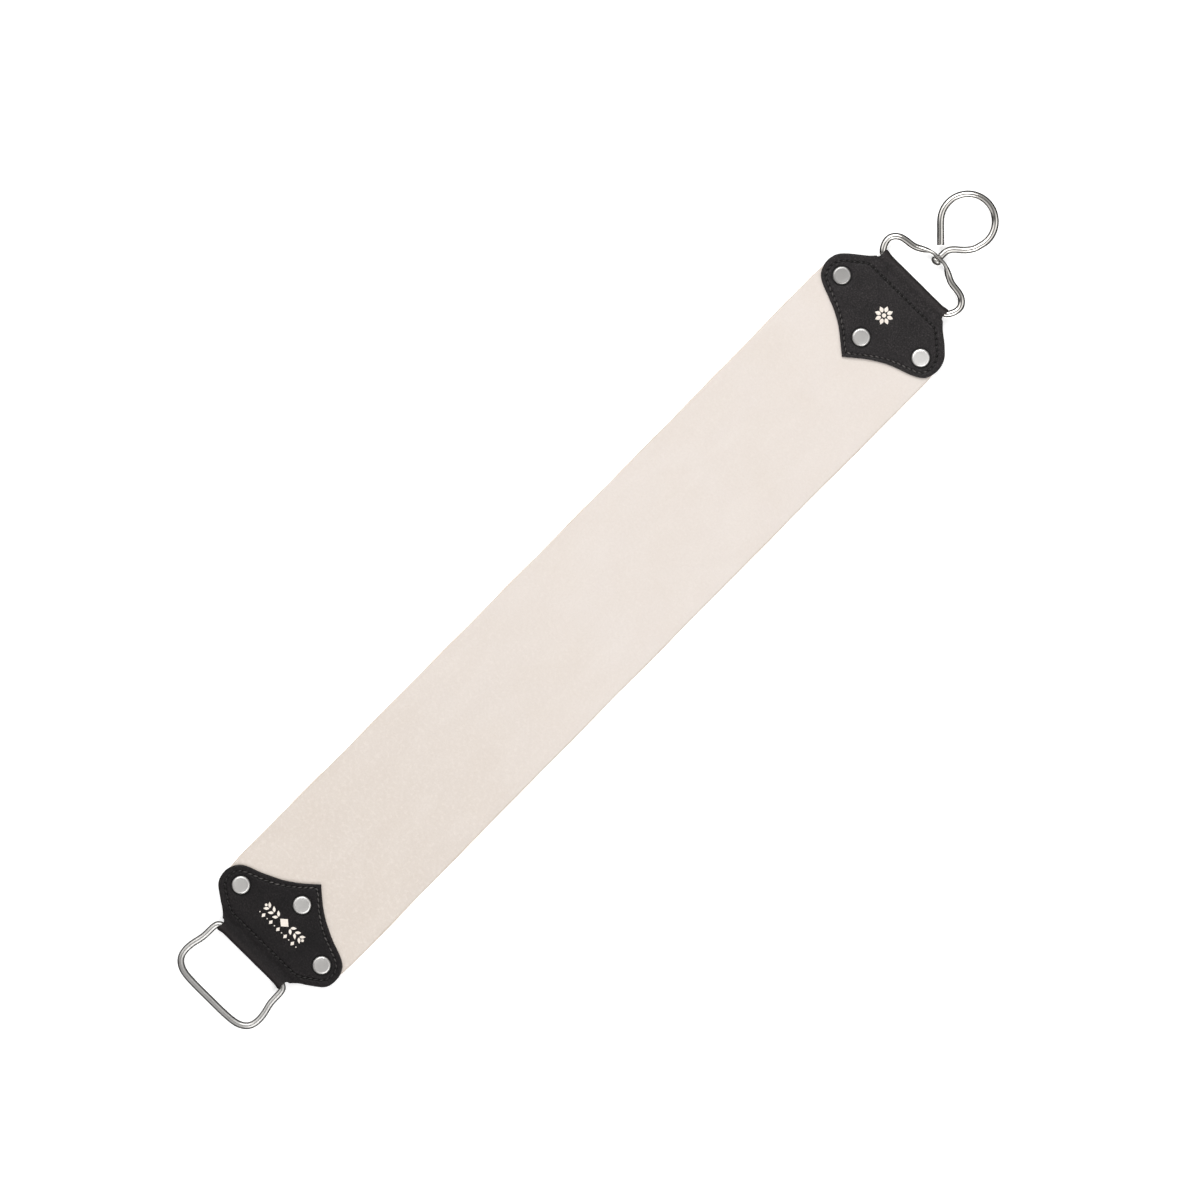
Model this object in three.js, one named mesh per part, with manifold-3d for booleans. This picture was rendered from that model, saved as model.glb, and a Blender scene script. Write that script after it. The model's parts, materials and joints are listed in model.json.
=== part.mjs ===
// Hanging razor strop: one leather strap held at each end by a folded, stitched and riveted leather cap.
// The top cap carries a wire bail with a swivelling hook, the bottom cap a wire handle ring.
// Units are millimetres. X is across the strap, +Y runs along it towards the hook, and +Z is up out of
// the honing face, which is the front. The origin is the centre of the honing face.
// Cap shapes are measured from the fold: s is the distance in from a cap's fold edge, and side is +1 for
// the top cap and -1 for the bottom one.
import * as THREE from "three";
import { mergeVertices } from "three/addons/utils/BufferGeometryUtils.js";
import Module from "manifold-3d";

const wasm = await Module();
wasm.setup();

// ---- shared dimensions ----
const STRAP_WIDTH = 65;
const STRAP_THICKNESS = 3;
const MID_Z = -STRAP_THICKNESS / 2; // mid-plane of the strap and of all the wires
const FOLD_Y = 200; // distance from the origin to each cap's fold edge
const FOLD_AXIS_S = 2.2; // wire axis inside each fold
const PIVOT_Y = FOLD_Y - FOLD_AXIS_S;
const CAP_FACE = 1.2; // cap's outer face above the strap face
const LAYER_GAP = 0.03; // air between two layers that touch
const FRONT_SEAT_Z = CAP_FACE + LAYER_GAP; // rivets and threads sit here on the front
const BACK_SEAT_Z = -STRAP_THICKNESS - CAP_FACE - LAYER_GAP; // and here on the back
const WIRE_RADIUS = 1.48;

// Cap outlines, right half: [s, half width]. The bottom cap is a little shorter.
const TOP_OUTLINE = [
  [-2, 17.9], [0, 18.1], [2, 18.4], [3, 18.8], [4, 19.35], [5, 20.1], [6, 21.0], [7, 22.0],
  [8, 23.2], [9, 24.5], [10, 25.75], [11.5, 27.6], [13, 29.3], [14, 30.3], [15, 31.1], [16, 31.7],
  [17, 32.15], [18.3, 32.5], [19.6, 32.75], [21, 32.85], [22.4, 32.7], [23.6, 32.4], [24.8, 31.95],
  [26, 31.35], [27, 30.55], [28, 29.4], [29, 27.7], [30, 25.5], [31, 22.7], [32, 20.0], [33, 17.5],
  [34, 15.3], [35.5, 12.55], [37, 10.15], [39, 7.35], [41, 4.85], [43, 2.45], [45, 0],
];
const BOTTOM_OUTLINE = [
  [-2, 17.9], [0, 18.1], [2, 18.4], [3, 18.8], [4, 19.3], [5, 20.0], [6, 20.95], [7, 22.05],
  [8, 23.4], [9, 24.95], [10, 26.35], [11, 27.8], [12, 29.2], [13, 30.4], [14, 31.3], [15, 31.95],
  [16, 32.35], [17, 32.6], [18, 32.8], [19.2, 32.85], [20.5, 32.75], [21.8, 32.45], [23, 32.0],
  [24, 31.4], [25, 30.75], [26, 29.75], [27, 28.3], [28, 26.1], [29, 23.3], [30, 20.75], [31, 18.4],
  [32, 16.25], [33.5, 13.3], [35, 10.75], [37, 7.85], [39, 5.3], [41, 2.95], [43.7, 0],
];
// Seam lines, right half: [s, half width].
const TOP_SEAM = [
  [9.0, 19.2], [10.6, 21.4], [12.1, 23.1], [13.5, 24.8], [15.1, 26.8], [16.9, 28.5], [18.9, 29.6],
  [21.2, 30.1], [23.3, 29.9], [25.1, 29.2], [26.5, 28.1], [27.4, 26.4], [28.3, 24.0], [29.4, 21.2],
  [30.6, 18.1], [32.0, 15.0], [33.7, 12.0], [35.6, 9.2], [37.6, 6.5], [39.6, 4.1], [41.3, 2.0],
  [42.3, 0.6], [42.5, 0],
];
const BOTTOM_SEAM = [
  [9.0, 19.0], [10.2, 21.2], [11.5, 23.3], [12.9, 25.4], [14.2, 27.4], [15.8, 29.0], [17.6, 29.9],
  [19.5, 30.2], [21.4, 29.9], [23.0, 29.1], [24.3, 27.8], [25.3, 26.0], [26.3, 23.6], [27.4, 20.8],
  [28.6, 17.8], [30.1, 14.7], [31.8, 11.8], [33.8, 8.9], [35.9, 6.2], [38.1, 3.8], [40.0, 1.8],
  [41.0, 0.5], [41.2, 0],
];
const ENDS = [
  { name: "top", side: 1, outline: TOP_OUTLINE, seam: TOP_SEAM },
  { name: "bottom", side: -1, outline: BOTTOM_OUTLINE, seam: BOTTOM_SEAM },
];

// Rivets: name, x and y of the axis.
const RIVETS = [
  ["top_left_rivet", -24.0, 179.2],
  ["top_right_rivet", 23.9, 177.8],
  ["top_centre_rivet", 0, 166.4],
  ["bottom_left_rivet", -23.8, -180.1],
  ["bottom_right_rivet", 24.0, -180.3],
  ["bottom_centre_rivet", 0.4, -168.1],
];

// ---- materials ----
const leather = (color, roughness) =>
  new THREE.MeshStandardMaterial({ color, roughness, metalness: 0 });
const strapLeather = leather(0xebe2d9, 0.6);
const capLeather = leather(0x34302f, 0.55);
const threadBlack = leather(0x2a2727, 0.7);
const nickel = new THREE.MeshStandardMaterial({ color: 0xc9c6c2, roughness: 0.22, metalness: 1 });

// ---- solids and meshes ----
const strop = new THREE.Group();

function add(name, solid, material) {
  const { vertProperties, triVerts } = solid.getMesh();
  const geometry = new THREE.BufferGeometry()
    .setAttribute("position", new THREE.BufferAttribute(vertProperties, 3))
    .setIndex(new THREE.BufferAttribute(triVerts, 1));
  geometry.computeVertexNormals();
  const mesh = new THREE.Mesh(geometry, material);
  mesh.name = name;
  strop.add(mesh);
  return mesh;
}

// A closed geometry as a solid with shared vertices merged and its faces pointing out.
function solidOf(geometry) {
  const bare = geometry.index ? geometry.toNonIndexed() : geometry.clone();
  bare.deleteAttribute("normal");
  bare.deleteAttribute("uv");
  const merged = mergeVertices(bare, 1e-4);
  const vertProperties = merged.attributes.position.array;
  const build = (triVerts) =>
    new wasm.Manifold(new wasm.Mesh({ numProp: 3, vertProperties, triVerts }));
  const triangles = new Uint32Array(merged.index.array);
  const solid = build(triangles);
  // Reading the index list backwards turns every triangle over.
  return solid.volume() < 0 ? build(triangles.reverse()) : solid;
}

const vectors = (pairs) => pairs.map(([x, y]) => new THREE.Vector2(x, y));

// An outline of [x, y] pairs raised from z0 to z1, with its edges optionally bevelled.
function prism(points, z0, z1, edge = 0, bevelSegments = 1) {
  const geometry = new THREE.ExtrudeGeometry(new THREE.Shape(vectors(points)), {
    depth: z1 - z0 - 2 * edge,
    bevelEnabled: edge > 0,
    bevelThickness: edge,
    bevelSize: edge,
    bevelOffset: -edge,
    bevelSegments,
  });
  geometry.translate(0, 0, z0 + edge);
  return solidOf(geometry);
}

// [s, half width] points as [x, y] points on the right half of one end.
const fromFold = (points, side) => points.map(([s, halfWidth]) => [halfWidth, side * (FOLD_Y - s)]);

// A right half closed by its mirror image; points on the centre line aren't repeated.
function closedOutline(right) {
  const left = right.filter(([x]) => x > 0).map(([x, y]) => [-x, y]);
  return [...right, ...left.reverse()];
}

function drillRivetHoles(solid) {
  const radius = 1.6;
  const [z0, z1] = [-12, 8]; // well past both faces
  let drilled = solid;
  for (const [, x, y] of RIVETS) {
    const bit = new THREE.CylinderGeometry(radius, radius, z1 - z0, 16);
    bit.rotateX(Math.PI / 2);
    bit.translate(x, y, (z0 + z1) / 2);
    drilled = drilled.subtract(solidOf(bit));
  }
  return drilled;
}

// ---- end caps: one piece of leather folded round the wire, front and back panels alike ----
const CAP_EDGE = 0.3; // burnished edge
const BORE_RADIUS = 1.58; // inside of the fold
const FOLD_RADIUS = 2.24; // outside of the fold
const FOLD_ARC_STEPS = 10;
const FOLD_BULGE = 0.5; // the wire's bends push the fold's ends out by this much
const BULGE_START_X = 14.4;
const BULGE_FULL_X = 18.6;
const BULGE_FADE = 2.5; // the bulge dies away over this distance in from the wire axis
// Faces of the front panel: [s, height above MID_Z]. The outer runs inwards, the inner back out.
const OUTER_FACE = [[4.2, 2.0], [6.0, 1.82], [7.4, 2.2], [8.4, 2.58], [9.6, 2.71], [46, 2.71]];
const INNER_FACE = [
  [46, 1.53], [10.2, 1.53], [8.8, 1.36], [7.6, 0.95], [6.0, 0.72], [4.2, 1.1], [3.2, 1.34],
];
// x of the sections across the cap, closer together at the fold's ends.
const CAP_STATIONS = [-34, -20, -18.6, -17.4, -16.2, -14.5, 14.5, 16.2, 17.4, 18.6, 20, 34];
// Space left free for the wire's bend at each end of the fold: [distance from x = 0, radius].
const TRUMPET = [
  [15.2, 1.58], [16.0, 1.63], [16.7, 1.86], [17.3, 2.18],
  [17.8, 2.46], [18.4, 2.86], [19.0, 3.2], [21, 3.45],
];

// Half circle round the wire axis; turn is +1 from back to front, -1 from front to back.
function foldArc(radius, turn) {
  return Array.from({ length: FOLD_ARC_STEPS + 1 }, (_, i) => {
    const angle = turn * (-Math.PI / 2 + (Math.PI * i) / FOLD_ARC_STEPS);
    return [FOLD_AXIS_S - radius * Math.cos(angle), radius * Math.sin(angle)];
  });
}

function foldedLeather(side) {
  const backFace = (face) => face.map(([s, z]) => [s, -z]).reverse();
  const profile = [
    ...backFace(OUTER_FACE),
    ...foldArc(FOLD_RADIUS, 1),
    ...OUTER_FACE,
    ...INNER_FACE,
    ...foldArc(BORE_RADIUS, -1),
    ...backFace(INNER_FACE),
  ];
  // Extruded one unit deep, then each step is moved to its station.
  const steps = CAP_STATIONS.length - 1;
  const geometry = new THREE.ExtrudeGeometry(new THREE.Shape(vectors(profile)), {
    depth: 1,
    steps,
    bevelEnabled: false,
  });
  const position = geometry.attributes.position;
  for (let i = 0; i < position.count; i++) {
    const s = position.getX(i);
    const z = position.getY(i);
    const x = CAP_STATIONS[Math.round(position.getZ(i) * steps)];
    const fromAxis = s - FOLD_AXIS_S;
    const fade = THREE.MathUtils.clamp(1 - fromAxis / BULGE_FADE, 0, 1);
    const along = THREE.MathUtils.smoothstep(Math.abs(x), BULGE_START_X, BULGE_FULL_X);
    const push = FOLD_BULGE * along * fade;
    // Radially outwards round the fold, straight away from the mid-plane beyond it.
    const radius = Math.hypot(fromAxis, z);
    const [pushS, pushZ] = fromAxis <= 0 ? [fromAxis / radius, z / radius] : [0, Math.sign(z)];
    position.setXYZ(i, x, side * (FOLD_Y - s - pushS * push), z + pushZ * push + MID_Z);
  }
  return solidOf(geometry);
}

function trumpet(side, xSign) {
  const nearX = TRUMPET[0][0];
  const farX = TRUMPET[TRUMPET.length - 1][0];
  const profile = [[0, nearX], ...TRUMPET.map(([x, radius]) => [radius, x]), [0, farX]];
  const geometry = new THREE.LatheGeometry(vectors(profile), 20);
  geometry.rotateZ((-xSign * Math.PI) / 2);
  geometry.translate(0, side * PIVOT_Y, MID_Z);
  return solidOf(geometry);
}

for (const { name, side, outline } of ENDS) {
  const cut = closedOutline(fromFold(outline, side));
  const blank = prism(cut, -STRAP_THICKNESS - CAP_FACE, CAP_FACE, CAP_EDGE);
  let solid = foldedLeather(side).intersect(blank);
  for (const xSign of [-1, 1]) solid = solid.subtract(trumpet(side, xSign));
  add(name + "_cap", drillRivetHoles(solid), capLeather);
}

// ---- strap: trimmed just inside the caps' shoulders, thinned at both ends, drilled for the rivets ----
const STRAP_EDGE = 0.45; // burnished edge
const STRAP_END_S = 7.8; // the strap stops here
const STRAP_CORNER = 0.4; // the end is narrower by this much on each side
const SHOULDER_INSET = 0.8; // strap edge inside the cap outline
const SHOULDER_REACH = 0.6; // the shoulder stops once it is this close to full half width
const FULL_WIDTH_S = 22.5; // the strap has its full width from here on
const SKIVE_S = 10.6; // the strap is thinned from here to its end
const SKIVED_EDGE = 1.0; // thickness left at the strap's end
const PRESSED = 0.05; // depth squeezed out of each face under the panels
const PRESSED_LEAD = 0.25; // the pressed area reaches this far beyond the panel's tapered edge
const PRESSED_START_S = 19; // it follows the cap outline beyond here
const PRESSED_HALF_WIDTH = 40; // wider than the strap

function strapEnd({ outline, side }) {
  const half = STRAP_WIDTH / 2;
  const shoulder = outline
    .filter(([s]) => s >= STRAP_END_S)
    .map(([s, halfWidth]) => [s, halfWidth - SHOULDER_INSET]);
  const last = shoulder.findIndex(([, halfWidth]) => halfWidth >= half - SHOULDER_REACH);
  const corner = [STRAP_END_S, shoulder[0][1] - STRAP_CORNER];
  return fromFold([corner, ...shoulder.slice(0, last + 1), [FULL_WIDTH_S, half]], side);
}

// The strap's side view, extruded wider than the strap.
function skivedSlab() {
  const width = 80;
  const endY = FOLD_Y - STRAP_END_S;
  const skiveY = FOLD_Y - SKIVE_S;
  const endZ = SKIVED_EDGE / 2;
  const fullZ = STRAP_THICKNESS / 2 + 0.01; // clear of the faces, so only the ends are cut
  const upper = [
    [-endY - 1, endZ], [-endY, endZ], [-skiveY, fullZ],
    [skiveY, fullZ], [endY, endZ], [endY + 1, endZ],
  ];
  const lower = upper.map(([y, z]) => [y, -z]).reverse();
  const geometry = new THREE.ExtrudeGeometry(new THREE.Shape(vectors([...upper, ...lower])), {
    depth: width,
    bevelEnabled: false,
  });
  geometry.translate(0, 0, -width / 2);
  // Together the two turns take the shape's x to Y, its y to Z and the extrusion to X.
  geometry.rotateY(Math.PI / 2);
  geometry.rotateX(Math.PI / 2);
  geometry.translate(0, 0, MID_Z);
  return solidOf(geometry);
}

function pressedArea({ outline, side }) {
  const edge = outline
    .filter(([s]) => s > PRESSED_START_S)
    .map(([s, halfWidth]) => [s + PRESSED_LEAD, halfWidth]);
  const right = [[-5, PRESSED_HALF_WIDTH], [edge[0][0], PRESSED_HALF_WIDTH], ...edge];
  return closedOutline(fromFold(right, side));
}

function strap() {
  const [top, bottom] = ENDS.map(strapEnd);
  const outline = closedOutline([...top, ...bottom.reverse()]);
  const blank = prism(outline, -STRAP_THICKNESS, 0, STRAP_EDGE, 2);
  let solid = skivedSlab().intersect(blank);
  for (const area of ENDS.map(pressedArea)) {
    solid = solid.subtract(prism(area, -PRESSED, 2));
    solid = solid.subtract(prism(area, -STRAP_THICKNESS - 2, -STRAP_THICKNESS + PRESSED));
  }
  return drillRivetHoles(solid);
}
add("strap", strap(), strapLeather);

// ---- wires ----
// Centre lines, right half: [x, y], from the wire's end inside the fold to the middle.
const BAIL_LINE = [
  [0.5, 197.8], [10, 197.8], [16.4, 197.8], [17.9, 198.05], [19.15, 199.1], [20.1, 200.6],
  [20.75, 202.2], [20.95, 203.7], [20.75, 205.1], [20.1, 206.3], [19.1, 207.3], [17.9, 208.1],
  [16.2, 208.65], [14, 208.98], [12, 209.2], [11, 209.4], [10, 209.75], [9, 210.25], [8, 210.8],
  [7, 211.35], [6, 211.9], [5, 212.4], [4, 212.8], [3, 213.05], [1.5, 213.1], [0, 213.1],
];
const HANDLE_LINE = [
  [0.5, -197.8], [10, -197.8], [16.4, -197.8], [17.7, -197.95], [18.8, -198.55], [19.5, -199.7],
  [19.72, -201.5], [19.75, -204], [19.82, -206], [20.1, -208], [20.6, -210], [21.05, -212],
  [21.3, -214], [21.32, -216], [21.0, -218], [20.45, -219.4], [19.6, -220.6], [18.4, -221.6],
  [16.5, -222.6], [14.5, -223.1], [12, -223.4], [8, -223.58], [0, -223.6],
];

function wireCurve(line) {
  const points = line.map(([x, y]) => new THREE.Vector3(x, y, MID_Z));
  return new THREE.CatmullRomCurve3(points, false, "centripetal");
}

// From the left end inside the fold, round by the middle, to the right end.
function mirroredCurve(half) {
  const left = half.slice(0, -1).map(([x, y]) => [-x, y]);
  return wireCurve([...left, ...[...half].reverse()]);
}

function wire(curve, steps) {
  const sides = 12;
  const ring = Array.from({ length: sides }, (_, i) => {
    const angle = (2 * Math.PI * i) / sides;
    return [WIRE_RADIUS * Math.cos(angle), WIRE_RADIUS * Math.sin(angle)];
  });
  return new THREE.ExtrudeGeometry(new THREE.Shape(vectors(ring)), {
    steps,
    bevelEnabled: false,
    extrudePath: curve,
  });
}

// Handle ring: its two ends meet, 1 mm apart, inside the lower fold.
add("handle_ring", solidOf(wire(mirroredCurve(HANDLE_LINE), 66)), nickel);

// Hanging bail: its two ends meet inside the upper fold, and its middle is flattened into a drilled eye.
const EYE_Y = 213.1;
const EYE_HALF_THICKNESS = 0.6;
const EYE_HOLE_RADIUS = 1.3;
const EYE_REACH_X = 7.6; // the wire is reshaped within this distance of the middle
const EYE_MIN_Y = 206; // and only above here, clear of the part inside the fold
const EYE_FLAT_X = [3.2, 7.4]; // thinning in Y: full up to the first x, none from the second
const EYE_BROAD_X = [2.0, 7.0]; // broadening in Z, likewise
const EYE_BROADENING = 1.15; // extra breadth at the middle, as a share of the wire's own

function flattenEye(geometry, curve) {
  const samples = curve.getSpacedPoints(600).filter((point) => point.y > EYE_MIN_Y);
  const centreYAt = (x) =>
    samples.reduce((best, point) =>
      Math.abs(point.x - x) < Math.abs(best.x - x) ? point : best).y;
  const { smoothstep } = THREE.MathUtils;
  const position = geometry.attributes.position;
  for (let i = 0; i < position.count; i++) {
    const x = position.getX(i);
    const y = position.getY(i);
    const z = position.getZ(i);
    const fromMiddle = Math.abs(x);
    if (fromMiddle > EYE_REACH_X || y < EYE_MIN_Y) continue;
    const centreY = centreYAt(x);
    const flat = 1 - smoothstep(fromMiddle, ...EYE_FLAT_X);
    const broad = 1 - smoothstep(fromMiddle, ...EYE_BROAD_X);
    const scaleY = 1 + (EYE_HALF_THICKNESS / WIRE_RADIUS - 1) * flat;
    const scaleZ = 1 + EYE_BROADENING * broad;
    position.setXYZ(i, x, centreY + (y - centreY) * scaleY, MID_Z + (z - MID_Z) * scaleZ);
  }
}

function hangingBail() {
  const curve = mirroredCurve(BAIL_LINE);
  const geometry = wire(curve, 88);
  flattenEye(geometry, curve);
  const hole = new THREE.CylinderGeometry(EYE_HOLE_RADIUS, EYE_HOLE_RADIUS, 4, 20);
  hole.translate(0, EYE_Y, MID_Z);
  return solidOf(geometry).subtract(solidOf(hole));
}
add("hanging_bail", hangingBail(), nickel);

// Swivel hook: an open loop of wire whose shank is necked down through the eye and headed over below it.
const NECK_RADIUS = 1.12;
const NECK_TOP_Y = EYE_Y + EYE_HALF_THICKNESS + 0.15;
const NECK_LOW_Y = EYE_Y - EYE_HALF_THICKNESS - 0.15;
const NECK_OVERLAP = 0.6; // the neck runs this far up into the shank
const HOOK_CENTRE = [-2.25, 232.8];
const HOOK_RADIUS = 11.5;
const HOOK_ARC = { from: 222, to: -20, step: 11 }; // degrees, clockwise seen from the front
const HOOK_TIP = [[-3.25, 217.4], [-5.3, 219.5], [-7.6, 221.82]]; // [x, y] up to the arc
const HOOK_SHANK = [ // [x, y] from the arc down to the neck
  [8.05, 227.1], [6.9, 225.1], [5.55, 223.45], [4.0, 222.0], [2.35, 220.65], [0.95, 219.1],
  [0.2, 217.6], [0, 216.3], [0, 215.2], [0, NECK_TOP_Y],
];
// Head below the eye: [radius, drop below the neck's low end].
const HOOK_HEAD = [[0, 2.35], [1.2, 2.15], [2.0, 1.55], [2.35, 0.75], [2.3, 0]];

function swivelHook() {
  const [centreX, centreY] = HOOK_CENTRE;
  const arc = [];
  for (let degrees = HOOK_ARC.from; degrees >= HOOK_ARC.to; degrees -= HOOK_ARC.step) {
    const angle = (degrees * Math.PI) / 180;
    arc.push([
      centreX + HOOK_RADIUS * Math.cos(angle),
      centreY + HOOK_RADIUS * Math.sin(angle),
    ]);
  }
  const loop = wire(wireCurve([...HOOK_TIP, ...arc, ...HOOK_SHANK]), 64);
  const turned = [
    ...HOOK_HEAD.map(([radius, drop]) => [radius, NECK_LOW_Y - drop]),
    [NECK_RADIUS, NECK_LOW_Y],
    [NECK_RADIUS, NECK_TOP_Y + NECK_OVERLAP],
    [0, NECK_TOP_Y + NECK_OVERLAP],
  ];
  const neck = new THREE.LatheGeometry(vectors(turned), 16);
  neck.translate(0, 0, MID_Z);
  return solidOf(loop).add(solidOf(neck));
}
add("swivel_hook", swivelHook(), nickel);

// ---- rivets: a cap with a hollow post pressed over a cap with a pin ----
const RIVET_CAP_RADIUS = 3.9;
const RIVET_CAP_HEIGHT = 1.1;
const POST_RADIUS = 1.5;
const PIN_RADIUS = 1.0;
const PIN_LENGTH = 3.6;
const SOCKET_RADIUS = PIN_RADIUS + 0.06;
const SOCKET_DEPTH = 3.4;
const POST_END_Z = BACK_SEAT_Z + 0.7; // the post stops short of the back cap
// Domed cap from its seat outwards: [inset from the cap radius, height above the seat].
const RIVET_DOME = [[0.25, 0], [0, 0.25], [0.2, 0.65], [0.75, 0.98], [1.4, RIVET_CAP_HEIGHT]];

// Profiles are [radius, z]. direction is the way the dome faces along Z.
const dome = (seatZ, direction) =>
  RIVET_DOME.map(([inset, height]) => [RIVET_CAP_RADIUS - inset, seatZ + direction * height]);
const FRONT_RIVET_PROFILE = [
  [0, POST_END_Z + SOCKET_DEPTH],
  [SOCKET_RADIUS, POST_END_Z + SOCKET_DEPTH],
  [SOCKET_RADIUS, POST_END_Z],
  [POST_RADIUS, POST_END_Z],
  [POST_RADIUS, FRONT_SEAT_Z],
  ...dome(FRONT_SEAT_Z, 1),
  [0, FRONT_SEAT_Z + RIVET_CAP_HEIGHT],
];
const BACK_RIVET_PROFILE = [
  [0, BACK_SEAT_Z - RIVET_CAP_HEIGHT],
  ...dome(BACK_SEAT_Z, -1).reverse(),
  [PIN_RADIUS, BACK_SEAT_Z],
  [PIN_RADIUS, BACK_SEAT_Z + PIN_LENGTH],
  [0, BACK_SEAT_Z + PIN_LENGTH],
];

function turnedPart(profile) {
  const geometry = new THREE.LatheGeometry(vectors(profile), 18);
  geometry.rotateX(Math.PI / 2); // the lathe's Y axis becomes Z
  return solidOf(geometry);
}

for (const [name, x, y] of RIVETS) {
  add(name + "_front", turnedPart(FRONT_RIVET_PROFILE), nickel).position.set(x, y, 0);
  add(name + "_back", turnedPart(BACK_RIVET_PROFILE), nickel).position.set(x, y, 0);
}

// ---- seam threads: the needle thread on the front of each cap, the bobbin thread on the back ----
const THREAD_WIDTH = 0.6;
const THREAD_HEIGHT = 0.4;

function threadRing(seam, side, z0) {
  const line = closedOutline(fromFold(seam, side));
  const count = line.length;
  // The line runs clockwise at the top end and anticlockwise at the bottom, so side sets which way is out.
  const grown = (distance) =>
    line.map(([x, y], i) => {
      const before = line[(i + count - 1) % count];
      const after = line[(i + 1) % count];
      const alongX = after[0] - before[0];
      const alongY = after[1] - before[1];
      const scale = (side * distance) / Math.hypot(alongX, alongY);
      return [x - alongY * scale, y + alongX * scale];
    });
  const whole = prism(grown(THREAD_WIDTH / 2), z0, z0 + THREAD_HEIGHT);
  return whole.subtract(prism(grown(-THREAD_WIDTH / 2), z0 - 1, z0 + THREAD_HEIGHT + 1));
}

for (const { name, side, seam } of ENDS) {
  const needle = threadRing(seam, side, FRONT_SEAT_Z);
  const bobbin = threadRing(seam, side, BACK_SEAT_Z - THREAD_HEIGHT);
  add(name + "_cap_needle_thread", needle, threadBlack);
  add(name + "_cap_bobbin_thread", bobbin, threadBlack);
}

export default strop;
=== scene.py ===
"""Looks of a hanging razor strop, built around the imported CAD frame. Shapes are worked out in millimetres and made in metres."""

import json
import math

import bpy
import numpy as np
from mathutils import Matrix, Vector
from mathutils.geometry import delaunay_2d_cdt

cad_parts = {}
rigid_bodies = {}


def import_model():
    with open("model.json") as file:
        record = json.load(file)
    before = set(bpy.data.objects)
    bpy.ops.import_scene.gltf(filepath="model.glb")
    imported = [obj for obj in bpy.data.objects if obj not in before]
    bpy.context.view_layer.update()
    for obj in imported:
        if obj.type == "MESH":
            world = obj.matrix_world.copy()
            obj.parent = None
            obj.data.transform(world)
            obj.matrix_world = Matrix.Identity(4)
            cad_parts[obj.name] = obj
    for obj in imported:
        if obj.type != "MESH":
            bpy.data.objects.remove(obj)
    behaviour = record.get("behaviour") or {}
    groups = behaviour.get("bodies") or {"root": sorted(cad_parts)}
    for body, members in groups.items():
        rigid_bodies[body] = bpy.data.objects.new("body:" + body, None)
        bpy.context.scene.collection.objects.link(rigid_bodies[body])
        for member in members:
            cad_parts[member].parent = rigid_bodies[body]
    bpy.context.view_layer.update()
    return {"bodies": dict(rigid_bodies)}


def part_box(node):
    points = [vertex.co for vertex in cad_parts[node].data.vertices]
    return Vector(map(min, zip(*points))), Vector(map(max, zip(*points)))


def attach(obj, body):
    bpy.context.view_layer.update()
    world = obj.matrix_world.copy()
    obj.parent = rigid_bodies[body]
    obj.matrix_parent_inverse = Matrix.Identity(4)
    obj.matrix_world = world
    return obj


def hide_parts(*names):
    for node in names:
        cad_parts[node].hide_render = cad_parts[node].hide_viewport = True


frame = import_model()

scene = bpy.context.scene
MM = 0.001


def box_mm(node):
    lo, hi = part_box(node)
    return np.array(lo) * 1000, np.array(hi) * 1000


# ---- sizes, from the CAD nodes ----
strap_lo, strap_hi = box_mm("strap")
HALF_WIDTH = float(strap_hi[0])
STRAP_END = float(strap_hi[1])
STRAP_TOP, STRAP_BOTTOM = float(strap_hi[2]), float(strap_lo[2])
MID = (STRAP_TOP + STRAP_BOTTOM) / 2
CAP_FACE = float(box_mm("top_cap")[1][2])  # outer face of a cap's front panel
FOLD_Y = STRAP_END + 7.8  # outer edge of each fold
PIVOT_S = 2.2  # wire axis, inwards from the fold's edge
FOLD_R = 2.24  # outside of the fold
PANEL_Z = CAP_FACE - MID  # 2.7, outer face of a panel above the mid-plane
WIRE_R = float(box_mm("handle_ring")[1][2]) - MID
EYE_Y, EYE_HALF = 213.1, 0.85


def rivet_centre(name):
    lo, hi = box_mm(name + "_front")
    return float(lo[0] + hi[0]) / 2, float(lo[1] + hi[1]) / 2


RIVETS = {f"{e}_{p}_rivet": rivet_centre(f"{e}_{p}_rivet") for e in ("top", "bottom") for p in ("left", "right", "centre")}

TOP_OUTLINE = [
    (0, 18.1), (2, 18.4), (3, 18.8), (4, 19.35), (5, 20.1), (6, 21.0), (7, 22.0), (8, 23.2), (9, 24.5),
    (10, 25.75), (11.5, 27.6), (13, 29.3), (14, 30.3), (15, 31.1), (16, 31.7), (17, 32.15), (18.3, 32.5), (19.6, 32.75),
    (21, 32.85), (22.4, 32.7), (23.6, 32.4), (24.8, 31.95), (26, 31.35), (27, 30.55), (28, 29.4), (29, 27.7), (30, 25.5),
    (31, 22.7), (32, 20.0), (33, 17.5), (34, 15.3), (35.5, 12.55), (37, 10.15), (39, 7.35), (41, 4.85), (43, 2.45),
    (45, 0),
]
BOTTOM_OUTLINE = [
    (0, 18.1), (2, 18.4), (3, 18.8), (4, 19.3), (5, 20.0), (6, 20.95), (7, 22.05), (8, 23.4), (9, 24.95),
    (10, 26.35), (11, 27.8), (12, 29.2), (13, 30.4), (14, 31.3), (15, 31.95), (16, 32.35), (17, 32.6), (18, 32.8),
    (19.2, 32.85), (20.5, 32.75), (21.8, 32.45), (23, 32.0), (24, 31.4), (25, 30.75), (26, 29.75), (27, 28.3), (28, 26.1),
    (29, 23.3), (30, 20.75), (31, 18.4), (32, 16.25), (33.5, 13.3), (35, 10.75), (37, 7.85), (39, 5.3), (41, 2.95),
    (43.7, 0),
]
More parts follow.
